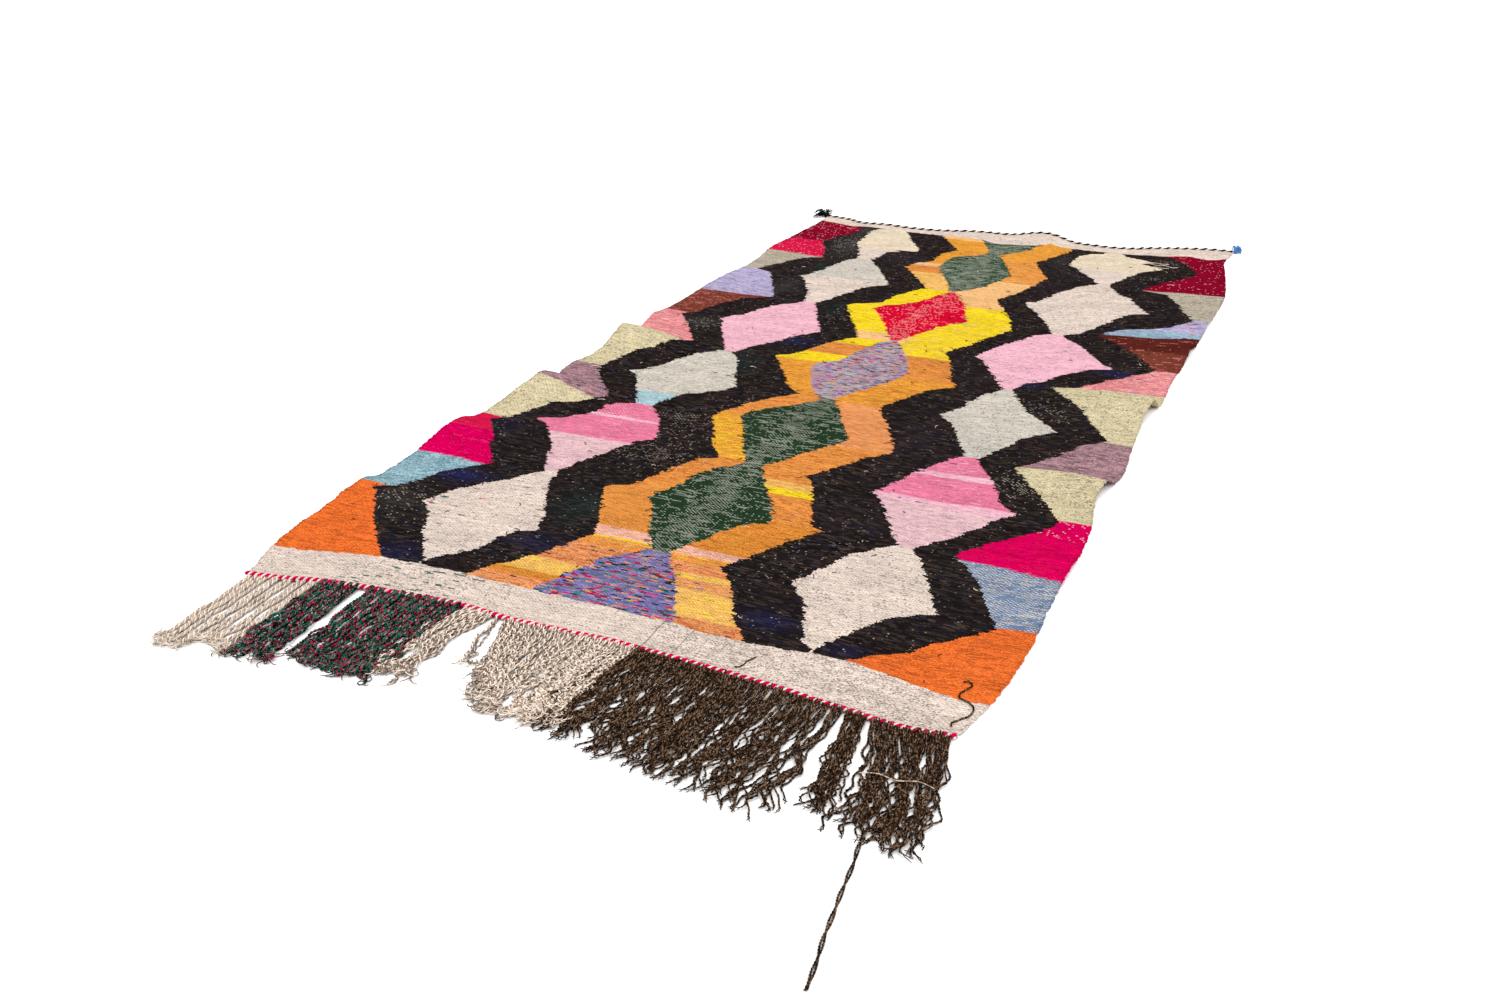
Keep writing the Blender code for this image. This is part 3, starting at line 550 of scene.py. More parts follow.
# The yarn ends of each tuft: the side of the knot that an end leaves, counted round from +X in
# twelfths, its length, and how far its tip bends to the left.
YarnEnd = namedtuple("YarnEnd", "side length bend")
TUFTS = {
    "tuft_black": [
        YarnEnd(2, 0.034, 0.006),
        YarnEnd(3, 0.060, 0.008),
        YarnEnd(4, 0.050, -0.006),
        YarnEnd(5, 0.046, -0.010),
        YarnEnd(6, 0.036, 0.012),
    ],
    "tuft_blue": [
        YarnEnd(11, 0.010, 0.004),
        YarnEnd(1, 0.012, 0.004),
        YarnEnd(2, 0.014, 0.000),
        YarnEnd(4, 0.016, -0.004),
    ],
}


def linear(red, green, blue):
    """A colour as it shows, from 0 to 255, as the light values that Blender mixes."""
    shares = (red / 255, green / 255, blue / 255)
    return tuple(s / 12.92 if s <= 0.04045 else ((s + 0.055) / 1.055) ** 2.4 for s in shares)


def dye(name, description, red, green, blue):
    """A colour setting."""
    return FloatVectorProperty(
        name=name, description=description, subtype="COLOR", size=3, min=0, max=1,
        default=linear(red, green, blue),
    )


def size(name, description, default):
    """A length setting in metres."""
    return FloatProperty(
        name=name, description=description, default=default, min=0, unit="LENGTH", precision=4,
    )


class RugCloth(bpy.types.PropertyGroup):
    """Sizes of the woven cloth."""
    columns: IntProperty(name="Columns", description="Faces across the cloth", default=64, min=8)
    rows: IntProperty(name="Rows", description="Faces along the cloth", default=690, min=40)
    thickness: size("Thickness", "How thick the cloth is", 0.004)
    warp_pitch: size("Warp pitch", "From one warp to the next", 0.0042)
    weft_pitch: size("Weft pitch", "From one weft row to the next", 0.0037)
    ragged: size("Ragged", "How far a weft row's colour ends before or past its line", 0.0046)
    edge_wear: size("Edge wear", "How far the side edges go in and out", 0.0018)


class RugDyes(bpy.types.PropertyGroup):
    """Colours of the yarns."""
    black: dye("Black", "Field", 36, 30, 29)
    soot: dye("Soot", "Rows of the field", 16, 13, 14)
    bark: dye("Bark", "Rows of the field", 84, 68, 60)
    ink: dye("Ink", "Rows of the field", 36, 40, 60)
    navy: dye("Navy", "Streaks of the field", 34, 38, 84)
    aubergine: dye("Aubergine", "Streaks of the field", 52, 42, 50)
    deep_teal: dye("Deep teal", "Streaks of the field", 24, 58, 56)
    charcoal: dye("Charcoal", "Worn parts of the field", 70, 68, 68)
    cream: dye("Cream", "Bands and pale diamonds", 229, 211, 198)
    pearl: dye("Pearl", "Pale diamonds", 210, 202, 190)
    pale_grey: dye("Pale grey", "Grey diamonds", 213, 205, 192)
    ice: dye("Ice", "Foot of a grey diamond", 172, 202, 210)
    buff: dye("Buff", "Last pale diamonds", 234, 216, 188)
    stone: dye("Stone", "Dots in the pale diamonds", 112, 100, 92)
    linen: dye("Linen", "Greyish patches", 188, 176, 158)
    straw: dye("Straw", "Yellow-green patches", 216, 202, 164)
    orange: dye("Orange", "First patches", 242, 116, 50)
    rust: dye("Rust", "Dark streaks in orange", 188, 84, 40)
    apricot: dye("Apricot", "Gold column", 232, 152, 98)
    amber: dye("Amber", "Gold column", 229, 147, 72)
    ochre: dye("Ochre", "Gold column", 222, 142, 58)
    honey: dye("Honey", "Gold column", 240, 186, 100)
    marigold: dye("Marigold", "Gold column", 232, 158, 62)
    gold: dye("Gold", "Gold column", 246, 214, 40)
    peach: dye("Peach", "Gold column", 246, 192, 134)
    faded_pink: dye("Faded pink", "Gold column", 238, 180, 160)
    pale_blue: dye("Pale blue", "Blue patches", 158, 190, 202)
    sky: dye("Sky", "Blue patches", 118, 138, 170)
    teal: dye("Teal", "Dots in pale blue", 70, 120, 130)
    lavender: dye("Lavender", "Lavender patches", 194, 182, 208)
    violet: dye("Violet", "Streaks in lavender", 136, 132, 196)
    magenta: dye("Magenta", "Magenta patches", 218, 2, 88)
    rose: dye("Rose", "Light flecks in red", 230, 50, 104)
    crimson: dye("Crimson", "Red patches", 218, 26, 74)
    wine: dye("Wine", "Last red patches", 140, 10, 42)
    red: dye("Red", "Red diamond", 218, 10, 52)
    mauve: dye("Mauve", "Mauve patches", 178, 140, 146)
    plum: dye("Plum", "Dark flecks in mauve", 96, 62, 76)
    salmon: dye("Salmon", "Salmon patches", 224, 132, 136)
    blush: dye("Blush", "Light flecks in salmon", 246, 184, 180)
    russet: dye("Russet", "Brown patches", 124, 62, 48)
    umber: dye("Umber", "Dark brown patches", 92, 38, 30)
    pale_pink: dye("Pale pink", "Pink diamonds", 232, 190, 196)
    pink: dye("Pink", "Pink diamonds", 244, 186, 202)
    hot_pink: dye("Hot pink", "Pink diamonds", 234, 126, 158)
    bottle_green: dye("Bottle green", "Green diamonds", 38, 60, 40)
    moss: dye("Moss", "Grey-green diamond", 60, 80, 60)
    lichen: dye("Lichen", "Light flecks in green", 168, 172, 156)
    purple: dye("Purple", "Many-coloured triangle", 119, 113, 164)
    heather: dye("Heather", "Many-coloured diamond", 172, 148, 164)
    red_stitch: dye("Red stitch", "Twined row at the fringe", 200, 6, 78)
    black_stitch: dye("Black stitch", "Twined row at the far end", 34, 32, 30)
    ecru: dye("Ecru", "Fringe", 206, 186, 168)
    ecru_light: dye("Light ecru", "Fringe", 238, 222, 206)
    marl_green: dye("Marl green", "Fringe", 16, 96, 80)
    marl_red: dye("Marl red", "Fringe", 172, 24, 66)
    marl_grey: dye("Marl grey", "Fringe", 96, 88, 84)
    marl_pale: dye("Marl pale", "Fringe", 150, 134, 128)
    heather_grey: dye("Heather grey", "Fringe", 150, 130, 118)
    cream_yarn: dye("Cream yarn", "Fringe", 240, 224, 208)
    brown_yarn: dye("Brown yarn", "Fringe", 54, 37, 27)
    brown_light: dye("Light brown yarn", "Fringe", 120, 96, 76)
    brown_dark: dye("Dark brown yarn", "Fringe", 28, 20, 14)
    black_yarn: dye("Black yarn", "Tuft", 24, 22, 22)
    blue_yarn: dye("Blue yarn", "Tuft", 84, 136, 200)


class RugTrim(bpy.types.PropertyGroup):
    """Sizes of the twined rows, the tail and the loose yarns."""
    red_width: size("Red width", "Width of the red and cream pair", 0.0090)
    black_width: size("Black width", "Width of the black and cream pair", 0.0092)
    red_turn: size("Red turn", "How far one turn of the red row runs", 0.0131)
    black_turn: size("Black turn", "How far one turn of the black row runs", 0.0270)
    tail_width: size("Tail width", "Width of the two plied yarns of the tail", 0.0078)
    tail_turn: size("Tail turn", "How far one turn of the tail runs", 0.090)
    yarn_width: size("Yarn width", "Width of the stray yarn", 0.0034)
    tuft_radius: size("Tuft radius", "Radius of a tuft's knot", 0.007)
    loose_ends: IntProperty(name="Loose ends", description="Yarn ends on the cloth", default=520)


class RugStage(bpy.types.PropertyGroup):
    """The floor, the light and the camera."""
    floor: dye("Floor", "Floor", 252, 252, 252)
    sky_strength: FloatProperty(name="Sky", description="Light from all around", default=0.80)
    sun_strength: FloatProperty(name="Sun", description="Soft light from above", default=2.50)
    sun_spread: FloatProperty(name="Sun spread", description="How wide the light is", default=55)
    sun_tilt: FloatProperty(name="Sun tilt", description="Lean towards the front", default=24)
    sun_lean: FloatProperty(name="Sun lean", description="Lean towards the right", default=15)
    lens: FloatProperty(name="Lens", description="Focal length", default=35.48, unit="CAMERA")
    place: FloatVectorProperty(
        name="Camera", description="Where the camera stands", subtype="TRANSLATION",
        default=(1.1093, -3.1220, 1.187),
    )
    yaw: FloatProperty(name="Yaw", description="Turn to the left", default=24.43)
    pitch: FloatProperty(name="Pitch", description="Tilt down", default=24.53)
    roll: FloatProperty(name="Roll", description="Lean to the left", default=-0.61)


def smooth_value(rows, column, at):
    """The column's value at each place, on a smooth curve through the table's rows."""
    places = np.array([row[0] for row in rows])
    values = np.array([getattr(row, column) for row in rows])
    last = len(rows) - 1
    at = np.clip(at, places[0], places[-1])
    i = np.clip(np.searchsorted(places, at, side="right") - 1, 0, last - 1)
    before, after = np.maximum(i - 1, 0), np.minimum(i + 2, last)
    step = places[i + 1] - places[i]
    slope_start = (values[i + 1] - values[before]) / (places[i + 1] - places[before])
    slope_end = (values[after] - values[i]) / (places[after] - places[i])
    t = (at - places[i]) / step
    return (
        (2 * t**3 - 3 * t**2 + 1) * values[i]
        + (t**3 - 2 * t**2 + t) * step * slope_start
        + (3 * t**2 - 2 * t**3) * values[i + 1]
        + (t**3 - t**2) * step * slope_end
    )


def bell(distance, before, after):
    """1 at the middle, easing to 0 over a stretch before it and one after it."""
    share = np.where(distance < 0, -distance / before, distance / after)
    return 0.5 + 0.5 * np.cos(math.pi * np.minimum(share, 1))


def side_edges(y):
    """Where the left and the right edge lie."""
    return smooth_value(SIDES, "left", y), smooth_value(SIDES, "right", y)


def end_edges(x):
    """Where the front and the back edge lie."""
    return smooth_value(ENDS, "front", x), WOVEN_LENGTH + smooth_value(ENDS, "back", x)


def fold_height(x, y, across, along):
    """How far the folds lift the cloth. across and along run from 0 to 1 between its edges."""
    left, right = side_edges(y)
    width = right - left
    height = 0.0
    for fold in FOLDS:
        if fold.edge == "back":
            inward, place = (1 - along) * WOVEN_LENGTH, x
        else:
            inward, place = width * (across if fold.edge == "left" else 1 - across), y
        crest = fold.crest + fold.drift * inward / fold.reach
        along_edge = bell(place - crest, fold.before, fold.after)
        height = height + fold.rise * along_edge * bell(inward, fold.reach, fold.reach)
    return height


def pucker_height(x, y):
    """The small waves of the cloth, which touch the floor at their lowest."""
    height = 0.0
    for wave in PUCKERS:
        turn = math.tau * (x / wave.across + y / wave.along) + wave.start
        height = height + wave.height * (1 + np.sin(turn))
    return height


def cloth_plan(across, along):
    """x and y of points of the cloth, by their shares of the width and of the length."""
    x = SIDES[0].left + (SIDES[0].right - SIDES[0].left) * across
    # The ends' lines depend on x and the sides' on y, so the place settles in a few passes.
    for _ in range(3):
        front, back = end_edges(x)
        y = front + (back - front) * along
        left, right = side_edges(y)
        x = left + (right - left) * across
    return x, y


def cloth_underside(x, y, across, along):
    """The height of the cloth's lower face."""
    return fold_height(x, y, across, along) + pucker_height(x, y)


def cloth_top(x, y):
    """The height of the cloth's upper face."""
    left, right = side_edges(y)
    front, back = end_edges(x)
    across, along = (x - left) / (right - left), (y - front) / (back - front)
    return cloth_underside(x, y, across, along) + bpy.context.scene.rug_cloth.thickness


def laid(x, y, height):
    """Points in the rug's own frame, from places that the tables measure from the fringed end."""
    return np.column_stack([x, y - TO_MIDDLE, height])


class Net:
    """A material's nodes, joined as they are added."""

    def __init__(self, name):
        self.material = bpy.data.materials.new(name)
        self.material.use_nodes = True
        self.tree = self.material.node_tree
        self.shader = self.tree.nodes["Principled BSDF"]
        self.shader.inputs["Roughness"].default_value = 1.0
        self.shader.inputs["Specular IOR Level"].default_value = 0.0

    def put(self, socket, value):
        if isinstance(value, bpy.types.NodeSocket):
            self.tree.links.new(value, socket)
        else:
            socket.default_value = value

    def add(self, kind, inputs=(), **settings):
        node = self.tree.nodes.new(kind)
        for setting, value in settings.items():
            setattr(node, setting, value)
        for socket, value in zip(node.inputs, inputs):
            self.put(socket, value)
        return node

    def math(self, operation, *values):
        return self.add("ShaderNodeMath", values, operation=operation).outputs[0]

    def plus(self, first, second):
        return self.math("ADD", first, second)

    def minus(self, first, second):
        return self.math("SUBTRACT", first, second)

    def times(self, first, second):
        return self.math("MULTIPLY", first, second)

    def times_plus(self, first, second, third):
        return self.math("MULTIPLY_ADD", first, second, third)

    def below(self, value, limit):
        """1 where the value is less than its limit, and 0 elsewhere."""
        return self.math("LESS_THAN", value, limit)

    def above(self, value, limit):
        """1 where the value is more than its limit, and 0 elsewhere."""
        return self.math("GREATER_THAN", value, limit)

    def cell(self, value, step):
        """The number of the whole step that a value lies in."""
        return self.math("FLOOR", self.math("DIVIDE", value, step))

    def clamp(self, value, least, most):
        return self.add("ShaderNodeClamp", (value, least, most)).outputs[0]

    def contrast(self, share, start, gain, least, most):
        """A share counted from its start and raised by a gain, within limits."""
        return self.clamp(self.times(self.minus(share, start), gain), least, most)

    def swing(self, share, strength, base):
        """A base value that a share moves up and down round its middle."""
        return self.times_plus(self.minus(share, 0.5), strength, base)

    def mix(self, share, start, end, blend="MIX"):
        node = self.add("ShaderNodeMix", data_type="RGBA", blend_type=blend)
        self.put(node.inputs[0], share)
        self.put(node.inputs[6], start)
        self.put(node.inputs[7], end)
        return node.outputs[2]

    def vector(self, x, y, z=0.0):
        return self.add("ShaderNodeCombineXYZ", (x, y, z)).outputs[0]

    def split(self, vector):
        return self.add("ShaderNodeSeparateXYZ", (vector,)).outputs

    def chance(self, x, y, z=0.0):
        """An even random share for each place."""
        node = self.add("ShaderNodeTexWhiteNoise", noise_dimensions="3D")
        self.put(node.inputs["Vector"], self.vector(x, y, z))
        return node.outputs["Value"]

    def noise(self, vector, scale, detail=2.0):
        node = self.add("ShaderNodeTexNoise", noise_dimensions="3D")
        self.put(node.inputs["Vector"], vector)
        self.put(node.inputs["Scale"], scale)
        self.put(node.inputs["Detail"], detail)
        return node.outputs["Fac"]

    def attribute(self, name):
        return self.add("ShaderNodeAttribute", attribute_name=name)

    def ramp(self, share, stops):
        """Colours in even steps of a share."""
        node = self.add("ShaderNodeValToRGB", (share,))
        node.color_ramp.interpolation = "CONSTANT"
        elements = node.color_ramp.elements
        while len(elements) < len(stops):
            elements.new(0.5)
        for number, (element, colour) in enumerate(zip(elements, stops)):
            element.position = number / len(stops)
            element.color = (*colour, 1)
        return node.outputs[0]

    def paint(self, colour, shade):
        """Gives the surface a colour, darkened or lightened by a shade."""
        grey = self.vector(shade, shade, shade)
        self.put(self.shader.inputs["Base Color"], self.mix(1.0, colour, grey, "MULTIPLY"))

    def bump(self, height, distance, strength):
        node = self.add("ShaderNodeBump")
        self.put(node.inputs["Height"], height)
        self.put(node.inputs["Distance"], distance)
        self.put(node.inputs["Strength"], strength)
        self.put(self.shader.inputs["Normal"], node.outputs[0])


def dyes():
    return bpy.context.scene.rug_dyes


def colours(names):
    return [tuple(getattr(dyes(), name)) for name in names]


FLECK_DYES = ("purple", "teal", "magenta", "violet", "apricot", "mauve", "deep_teal", "plum")
RAG_DYES = ("black", "soot", "bark", "black", "ink", "soot", "bark", "black")

# How far a weft yarn runs before it changes its shade, in long pieces and in short ones, and by how
# many pieces at most a row's start is shifted.
LONG_PIECE = 0.020
SHORT_PIECE = 0.013
ROW_STAGGER = 9.0

# How much of a streak's and of a dot's own colour shows.
STREAK_SHOWN = 0.6
DOT_SHOWN = 0.75

# Two warps of the front band that show dark: where they lie from the left edge, and half a width.
DARK_WARPS = (0.786, 0.842)
DARK_WARP_HALF = 0.0014

# Noise over the cloth: how it is squeezed across and along, its layer, its scale and its detail.
Mottle = namedtuple("Mottle", "across along layer scale detail")
MOTTLES = {
    "clumps": Mottle(0.6, 1.0, 11.0, 62.0, 2.0),
    "clouds": Mottle(1.0, 3.0, 4.0, 7.0, 3.0),
    "worn": Mottle(1.0, 2.0, 9.0, 26.0, 2.0),
    "fibres": Mottle(0.4, 1.0, 0.0, 2200.0, 3.0),
    "knobs": Mottle(1.0, 1.0, 2.0, 330.0, 2.0),
    "grain": Mottle(0.6, 1.0, 3.0, 125.0, 4.0),
    "wear": Mottle(0.5, 1.0, 0.0, 16.0, 4.0),
    "lumps": Mottle(1.0, 1.6, 6.0, 75.0, 2.0),
    "ridges": Mottle(0.30, 1.0, 8.0, 34.0, 2.0),
}

# How strongly each pattern lights and darkens the cloth, and how far each raises it.
SHADES = {"grain": 0.70, "rows": 0.12, "thick": 0.16, "wear": 0.40, "fibres": 0.34, "knobs": 1.15}
RELIEFS = {"fibres": 0.6, "knobs": 2.4, "lumps": 5.0, "ridges": 11.0, "thick": 0.6}


def weave_material():
    """Weft rows over warps, each row in the colours that its place in the pattern gives."""
    cloth = bpy.context.scene.rug_cloth
    net = Net("rug_weave")
    u, v, _ = net.split(net.attribute("loom").outputs["Vector"])
    warp, row = net.cell(u, cloth.warp_pitch), net.cell(v, cloth.weft_pitch)
    pair = net.cell(row, 2.0)
    patterns = {}
    for name, mottle in MOTTLES.items():
        place = net.vector(net.times(u, mottle.across), net.times(v, mottle.along), mottle.layer)
        patterns[name] = net.noise(place, mottle.scale, mottle.detail)

    # A colour ends at a warp, a little before or past its line. The last number of a chance only
    # keeps its draws apart from the others.
    to_warp = net.minus(net.times(net.plus(warp, 0.5), cloth.warp_pitch), u)

    def past(distance, number):
        shift = net.swing(net.chance(pair, float(number)), 2 * cloth.ragged, to_warp)
        return net.above(net.plus(distance, shift), 0.0)

    lines = []
    for number in range(1, 5):
        lines += net.split(net.attribute(f"lines_{number}").outputs["Vector"])
    beyond = [past(line, number) for number, line in enumerate(lines[:10])]

    def between(start, end):
        return net.times(start, net.minus(1.0, end))

    on_patches = net.plus(net.minus(1.0, beyond[0]), beyond[9])
    on_diamonds = net.plus(between(beyond[1], beyond[2]), between(beyond[7], beyond[8]))
    on_gold = between(beyond[3], beyond[6])
    on_centre = between(beyond[4], beyond[5])
    step = net.times(net.minus(net.chance(net.cell(warp, 3.0), 31.0), 0.5), cloth.ragged)
    on_front = net.below(net.plus(lines[10], step), 0.0)
    on_back = net.above(net.plus(lines[11], step), 0.0)

    # A weft yarn changes its shade every few centimetres, and dots show where warps bare it.
    start = net.times(net.chance(row, 5.0), ROW_STAGGER)
    long_piece, short_piece = (
        net.math("FLOOR", net.plus(net.math("DIVIDE", u, length), start))
        for length in (LONG_PIECE, SHORT_PIECE)
    )
    streak = net.chance(long_piece, row, 1.0)
    fleck = net.chance(short_piece, row, 2.0)
    flecks = net.ramp(net.chance(short_piece, row, 3.0), colours(FLECK_DYES))
    dot = net.chance(warp, row, 4.0)

    # Each weft bows up over every other warp, the next row over the others, and dots of the
    # second yarn show only there, in clumps along the weft.
    over = net.math("SINE", net.times(u, math.pi / cloth.warp_pitch))
    under = net.math("SINE", net.times(v, math.pi / cloth.weft_pitch))
    weave = net.times(over, under)
    bared = net.above(weave, 0.20)
    clumps = net.contrast(patterns["clumps"], start=0.35, gain=10.0, least=0.25, most=3.0)

    def spun(name, share, streaked=True):
        main, second = net.attribute(name + "_main"), net.attribute(name + "_second")
        streaks = net.below(streak, main.outputs["Alpha"]) if streaked else 0.0
        dots = net.times(net.below(dot, net.times(second.outputs["Alpha"], clumps)), bared)
        shown = net.math("MAXIMUM", net.times(streaks, STREAK_SHOWN), net.times(dots, DOT_SHOWN))
        colour = net.mix(shown, main.outputs["Color"], second.outputs["Color"])
        return net.mix(net.below(fleck, share), colour, flecks)

    # The black field is spun from rags, so its rows go from black to brown and a washed blue.
    rags = net.ramp(net.chance(short_piece, row, 9.0), colours(RAG_DYES))
    cloudy = net.contrast(patterns["clouds"], start=0.36, gain=2.6, least=0.35, most=1.00)
    spots = net.attribute("field_main").outputs["Alpha"]
    cloudy = net.times(cloudy, net.times_plus(spots, -0.75, 1.0))
    colour = net.mix(cloudy, spun("field", 0.0, streaked=False), rags)
    worn = net.times(net.above(patterns["worn"], 0.54), bared)
    bare = net.times(worn, net.below(dot, 0.10))
    colour = net.mix(net.times(bare, 0.3), colour, (*dyes().linen, 1))

    shares = net.attribute("flecks")
    patch_share, diamond_share, gold_share = net.split(shares.outputs["Vector"])
    for name, place, share in (
        ("patches", on_patches, patch_share), ("diamonds", on_diamonds, diamond_share),
        ("gold", on_gold, gold_share), ("centre", on_centre, shares.outputs["Alpha"]),
    ):
        colour = net.mix(place, colour, spun(name, share))
    band = spun("band", 0.0)
    band_share = net.attribute("band_flecks").outputs["Fac"]
    green = net.below(net.chance(short_piece, pair, 6.0), band_share)
    band = net.mix(net.times(green, 0.9), band, (*dyes().marl_green, 1))
    for dark_warp in DARK_WARPS:
        beside = net.below(net.math("ABSOLUTE", net.minus(u, dark_warp)), DARK_WARP_HALF)
        band = net.mix(net.times(net.times(beside, 0.6), on_front), band, (*dyes().stone, 1))
    colour = net.mix(net.math("MAXIMUM", on_front, on_back), colour, band)

    patterns["thick"] = net.chance(long_piece, row, 8.0)
    patterns["rows"] = net.chance(long_piece, net.cell(row, 3.0), 7.0)
    # Painted shade: the cloth's colour is darker where its yarns dip between the raised wefts, and
    # the patterns after that lighten and darken it in random patches.
    shade = net.times_plus(weave, 0.15, 0.81)
    for name, strength in SHADES.items():
        shade = net.swing(patterns[name], strength, shade)
    net.paint(colour, net.clamp(shade, 0.24, 1.20))
    relief = weave
    for name, rise in RELIEFS.items():
        relief = net.times_plus(patterns[name], rise, relief)
    net.bump(relief, 0.0009, 1.0)
    return net.material


# The size of one fleck of colour in a yarn, and how dark the painted shade makes a fringe's depths.
FIBRE_CELL = (0.0027, 0.0052, 0.0023)
DEEP_SHADE = 0.42
LIT_GAIN = 0.72


def yarn_material(name, fibres, depth=0.0):
    """Spun yarn: flecks of its fibres' colours, with painted shade where it lies low among strands.
    """
    net = Net(name)
    place = net.add("ShaderNodeTexCoord").outputs["Object"]
    parts = net.split(place)
    cells = [net.cell(part, step) for part, step in zip(parts, FIBRE_CELL)]
    colour = net.ramp(net.chance(*cells), colours(fibres))
    wide, fine = net.noise(place, 60.0, 2.0), net.noise(place, 1500.0, 3.0)
    shade = net.swing(fine, 0.6, net.swing(wide, 0.6, 0.88))
    # Painted shade: a fringe's yarn is darker the lower it lies, up to the given height.
    if depth:
        lit = net.clamp(net.math("DIVIDE", parts[2], depth), 0.0, 1.0)
        shade = net.times(shade, net.times_plus(lit, LIT_GAIN, DEEP_SHADE))
    net.paint(colour, shade)
    net.bump(fine, 0.0006, 0.8)
    return net.material


def dress(piece, slot, stands_in=True):
    """Makes a piece ride with the rug and, where it stands in for a solid, hides the solid of that
    name.
    """
    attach(piece, "root")
    if stands_in:
        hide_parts(slot)


def add_object(name, mesh):
    piece = bpy.data.objects.new(name, mesh)
    bpy.context.scene.collection.objects.link(piece)
    return piece


def line_at(points, at):
    """Where a charted line lies at each place."""
    places, values = zip(*sorted(points))
    return np.interp(at, places, values)


def stretch_values(x, y, left, right):
    """The two yarns, their shares and the flecks at each place of a colour column."""
    main, second, flecks = np.zeros((len(x), 4)), np.zeros((len(x), 4)), np.zeros(len(x))
    outward = np.clip((np.abs(x) - 0.50) / 0.17, 0, 1)
    for side, stretches in ((x < 0, left), (x >= 0, right)):
        for stretch in stretches:
            start = stretch.inner + (stretch.outer - stretch.inner) * outward
            here = side & (y >= start)
            main[here] = (*getattr(dyes(), stretch.main), stretch.streaks)
            second[here] = (*getattr(dyes(), stretch.second), stretch.dots)
            flecks[here] = stretch.flecks
    return main, second, flecks


def spot_weight(spot, x, y):
    return np.exp(-((x - spot.x) / spot.wide) ** 2 - ((y - spot.y) / spot.long) ** 2)


def field_values(x, y):
    """The black field, its soft spots of other yarns with their shares, and its worn flecks."""
    main, second = np.zeros((len(x), 4)), np.zeros((len(x), 4))
    main[:, :3] = tuple(dyes().black)
    for colour, spots in FIELD_SPOTS.items():
        for spot in spots:
            weight = spot.share * spot_weight(spot, x, y)
            main[:, :3] += (np.array(getattr(dyes(), colour)) - main[:, :3]) * weight[:, None]
            main[:, 3] += (1 - main[:, 3]) * weight
    second[:, :3] = tuple(dyes().linen)
    second[:, 3] = 0.004
    for spot in PALE_SPOTS:
        second[:, 3] += spot.share * spot_weight(spot, x, y)
    return main, second


def band_values(x, y):
    """The plain bands: cream, with dark dots on the right and grey dots on part of the left."""
    main, second = np.zeros((len(x), 4)), np.zeros((len(x), 4))
    main[:, :3] = tuple(dyes().cream)
    second[:, :3] = tuple(dyes().stone)
    dots = 0.03 + 0.24 * ((x > 0.112) & (x < 0.60)) + 0.12 * ((x > -0.49) & (x < -0.19))
    second[:, 3] = np.where(y < TO_MIDDLE, dots, 0.04)
    green = 0.05 * ((x > -0.48) & (x < -0.24) & (y < TO_MIDDLE))
    return main, second, green


def set_attribute(mesh, name, kind, values):
    attribute = mesh.attributes.new(name, kind, "POINT")
    field = {"FLOAT_VECTOR": "vector", "FLOAT_COLOR": "color", "FLOAT": "value"}[kind]
    attribute.data.foreach_set(field, np.asarray(values, dtype=np.float32).ravel())


def set_yarns(mesh, name, main, second):
    """Writes a column's two yarns, each with its share, on the cloth's points."""
    set_attribute(mesh, name + "_main", "FLOAT_COLOR", main)
    set_attribute(mesh, name + "_second", "FLOAT_COLOR", second)


def write_pattern(mesh, across, along, x, y):
    """Writes the charted pattern on the cloth's points, for the material to weave."""
    loom = np.column_stack([across * WOVEN_WIDTH, along * WOVEN_LENGTH, np.zeros(len(x))])
    set_attribute(mesh, "loom", "FLOAT_VECTOR", loom)
    distances = [x - line_at(points, y) for points in LINES.values()]
    distances.append(y - line_at(FRONT_BAND, x))
    distances.append(y - line_at(BACK_BAND, x))
    for number in range(4):
        triple = np.column_stack(distances[3 * number:3 * number + 3])
        set_attribute(mesh, f"lines_{number + 1}", "FLOAT_VECTOR", triple)
    shares = []
    columns = {
        "patches": (LEFT_PATCHES, RIGHT_PATCHES), "diamonds": (LEFT_DIAMONDS, RIGHT_DIAMONDS),
        "gold": (LEFT_GOLD, RIGHT_GOLD), "centre": (CENTRE, CENTRE),
    }
    for name, (left, right) in columns.items():
        main, second, flecks = stretch_values(x, y, left, right)
        if name == "centre":
            # The centre is worn pale along its middle.
            middle = 0.5 * (line_at(LINES["centre_from"], y) + line_at(LINES["centre_to"], y))
            second[:, 3] *= 0.22 + 1.5 * np.exp(-((x - middle) / 0.034) ** 2)
        set_yarns(mesh, name, main, second)
        shares.append(flecks)
    set_attribute(mesh, "flecks", "FLOAT_COLOR", np.column_stack(shares))
    set_yarns(mesh, "field", *field_values(x, y))
    main, second, green = band_values(x, y)
    set_yarns(mesh, "band", main, second)
    set_attribute(mesh, "band_flecks", "FLOAT", green)


def strand_mesh(name, plies, materials, sides=4):
    """Yarns as one mesh. A ply is its points, its radius at each and its material's number."""
    curve = bpy.data.curves.new(name + "_guide", "CURVE")
    for material in materials:
        curve.materials.append(material)
    curve.dimensions = "3D"
    curve.bevel_depth = 1.0
    curve.bevel_resolution = (sides - 4) // 2
    curve.use_fill_caps = True
    for points, radii, number in plies:
        spline = curve.splines.new("POLY")
        spline.points.add(len(points) - 1)
        places = np.column_stack([points, np.ones(len(points))])
        spline.points.foreach_set("co", places.ravel())
        spline.points.foreach_set("radius", np.asarray(radii, dtype=np.float64))
        spline.material_index = number
    guide = add_object(name + "_guide", curve)
    shape = guide.evaluated_get(bpy.context.evaluated_depsgraph_get())
    mesh = bpy.data.meshes.new_from_object(shape)
    bpy.data.objects.remove(guide)
    mesh.name = name
    bm = bmesh.new()
    bm.from_mesh(mesh)
    bmesh.ops.remove_doubles(bm, verts=bm.verts, dist=1e-6)
    bm.to_mesh(mesh)
    bm.free()
    mesh.shade_smooth()
    return mesh


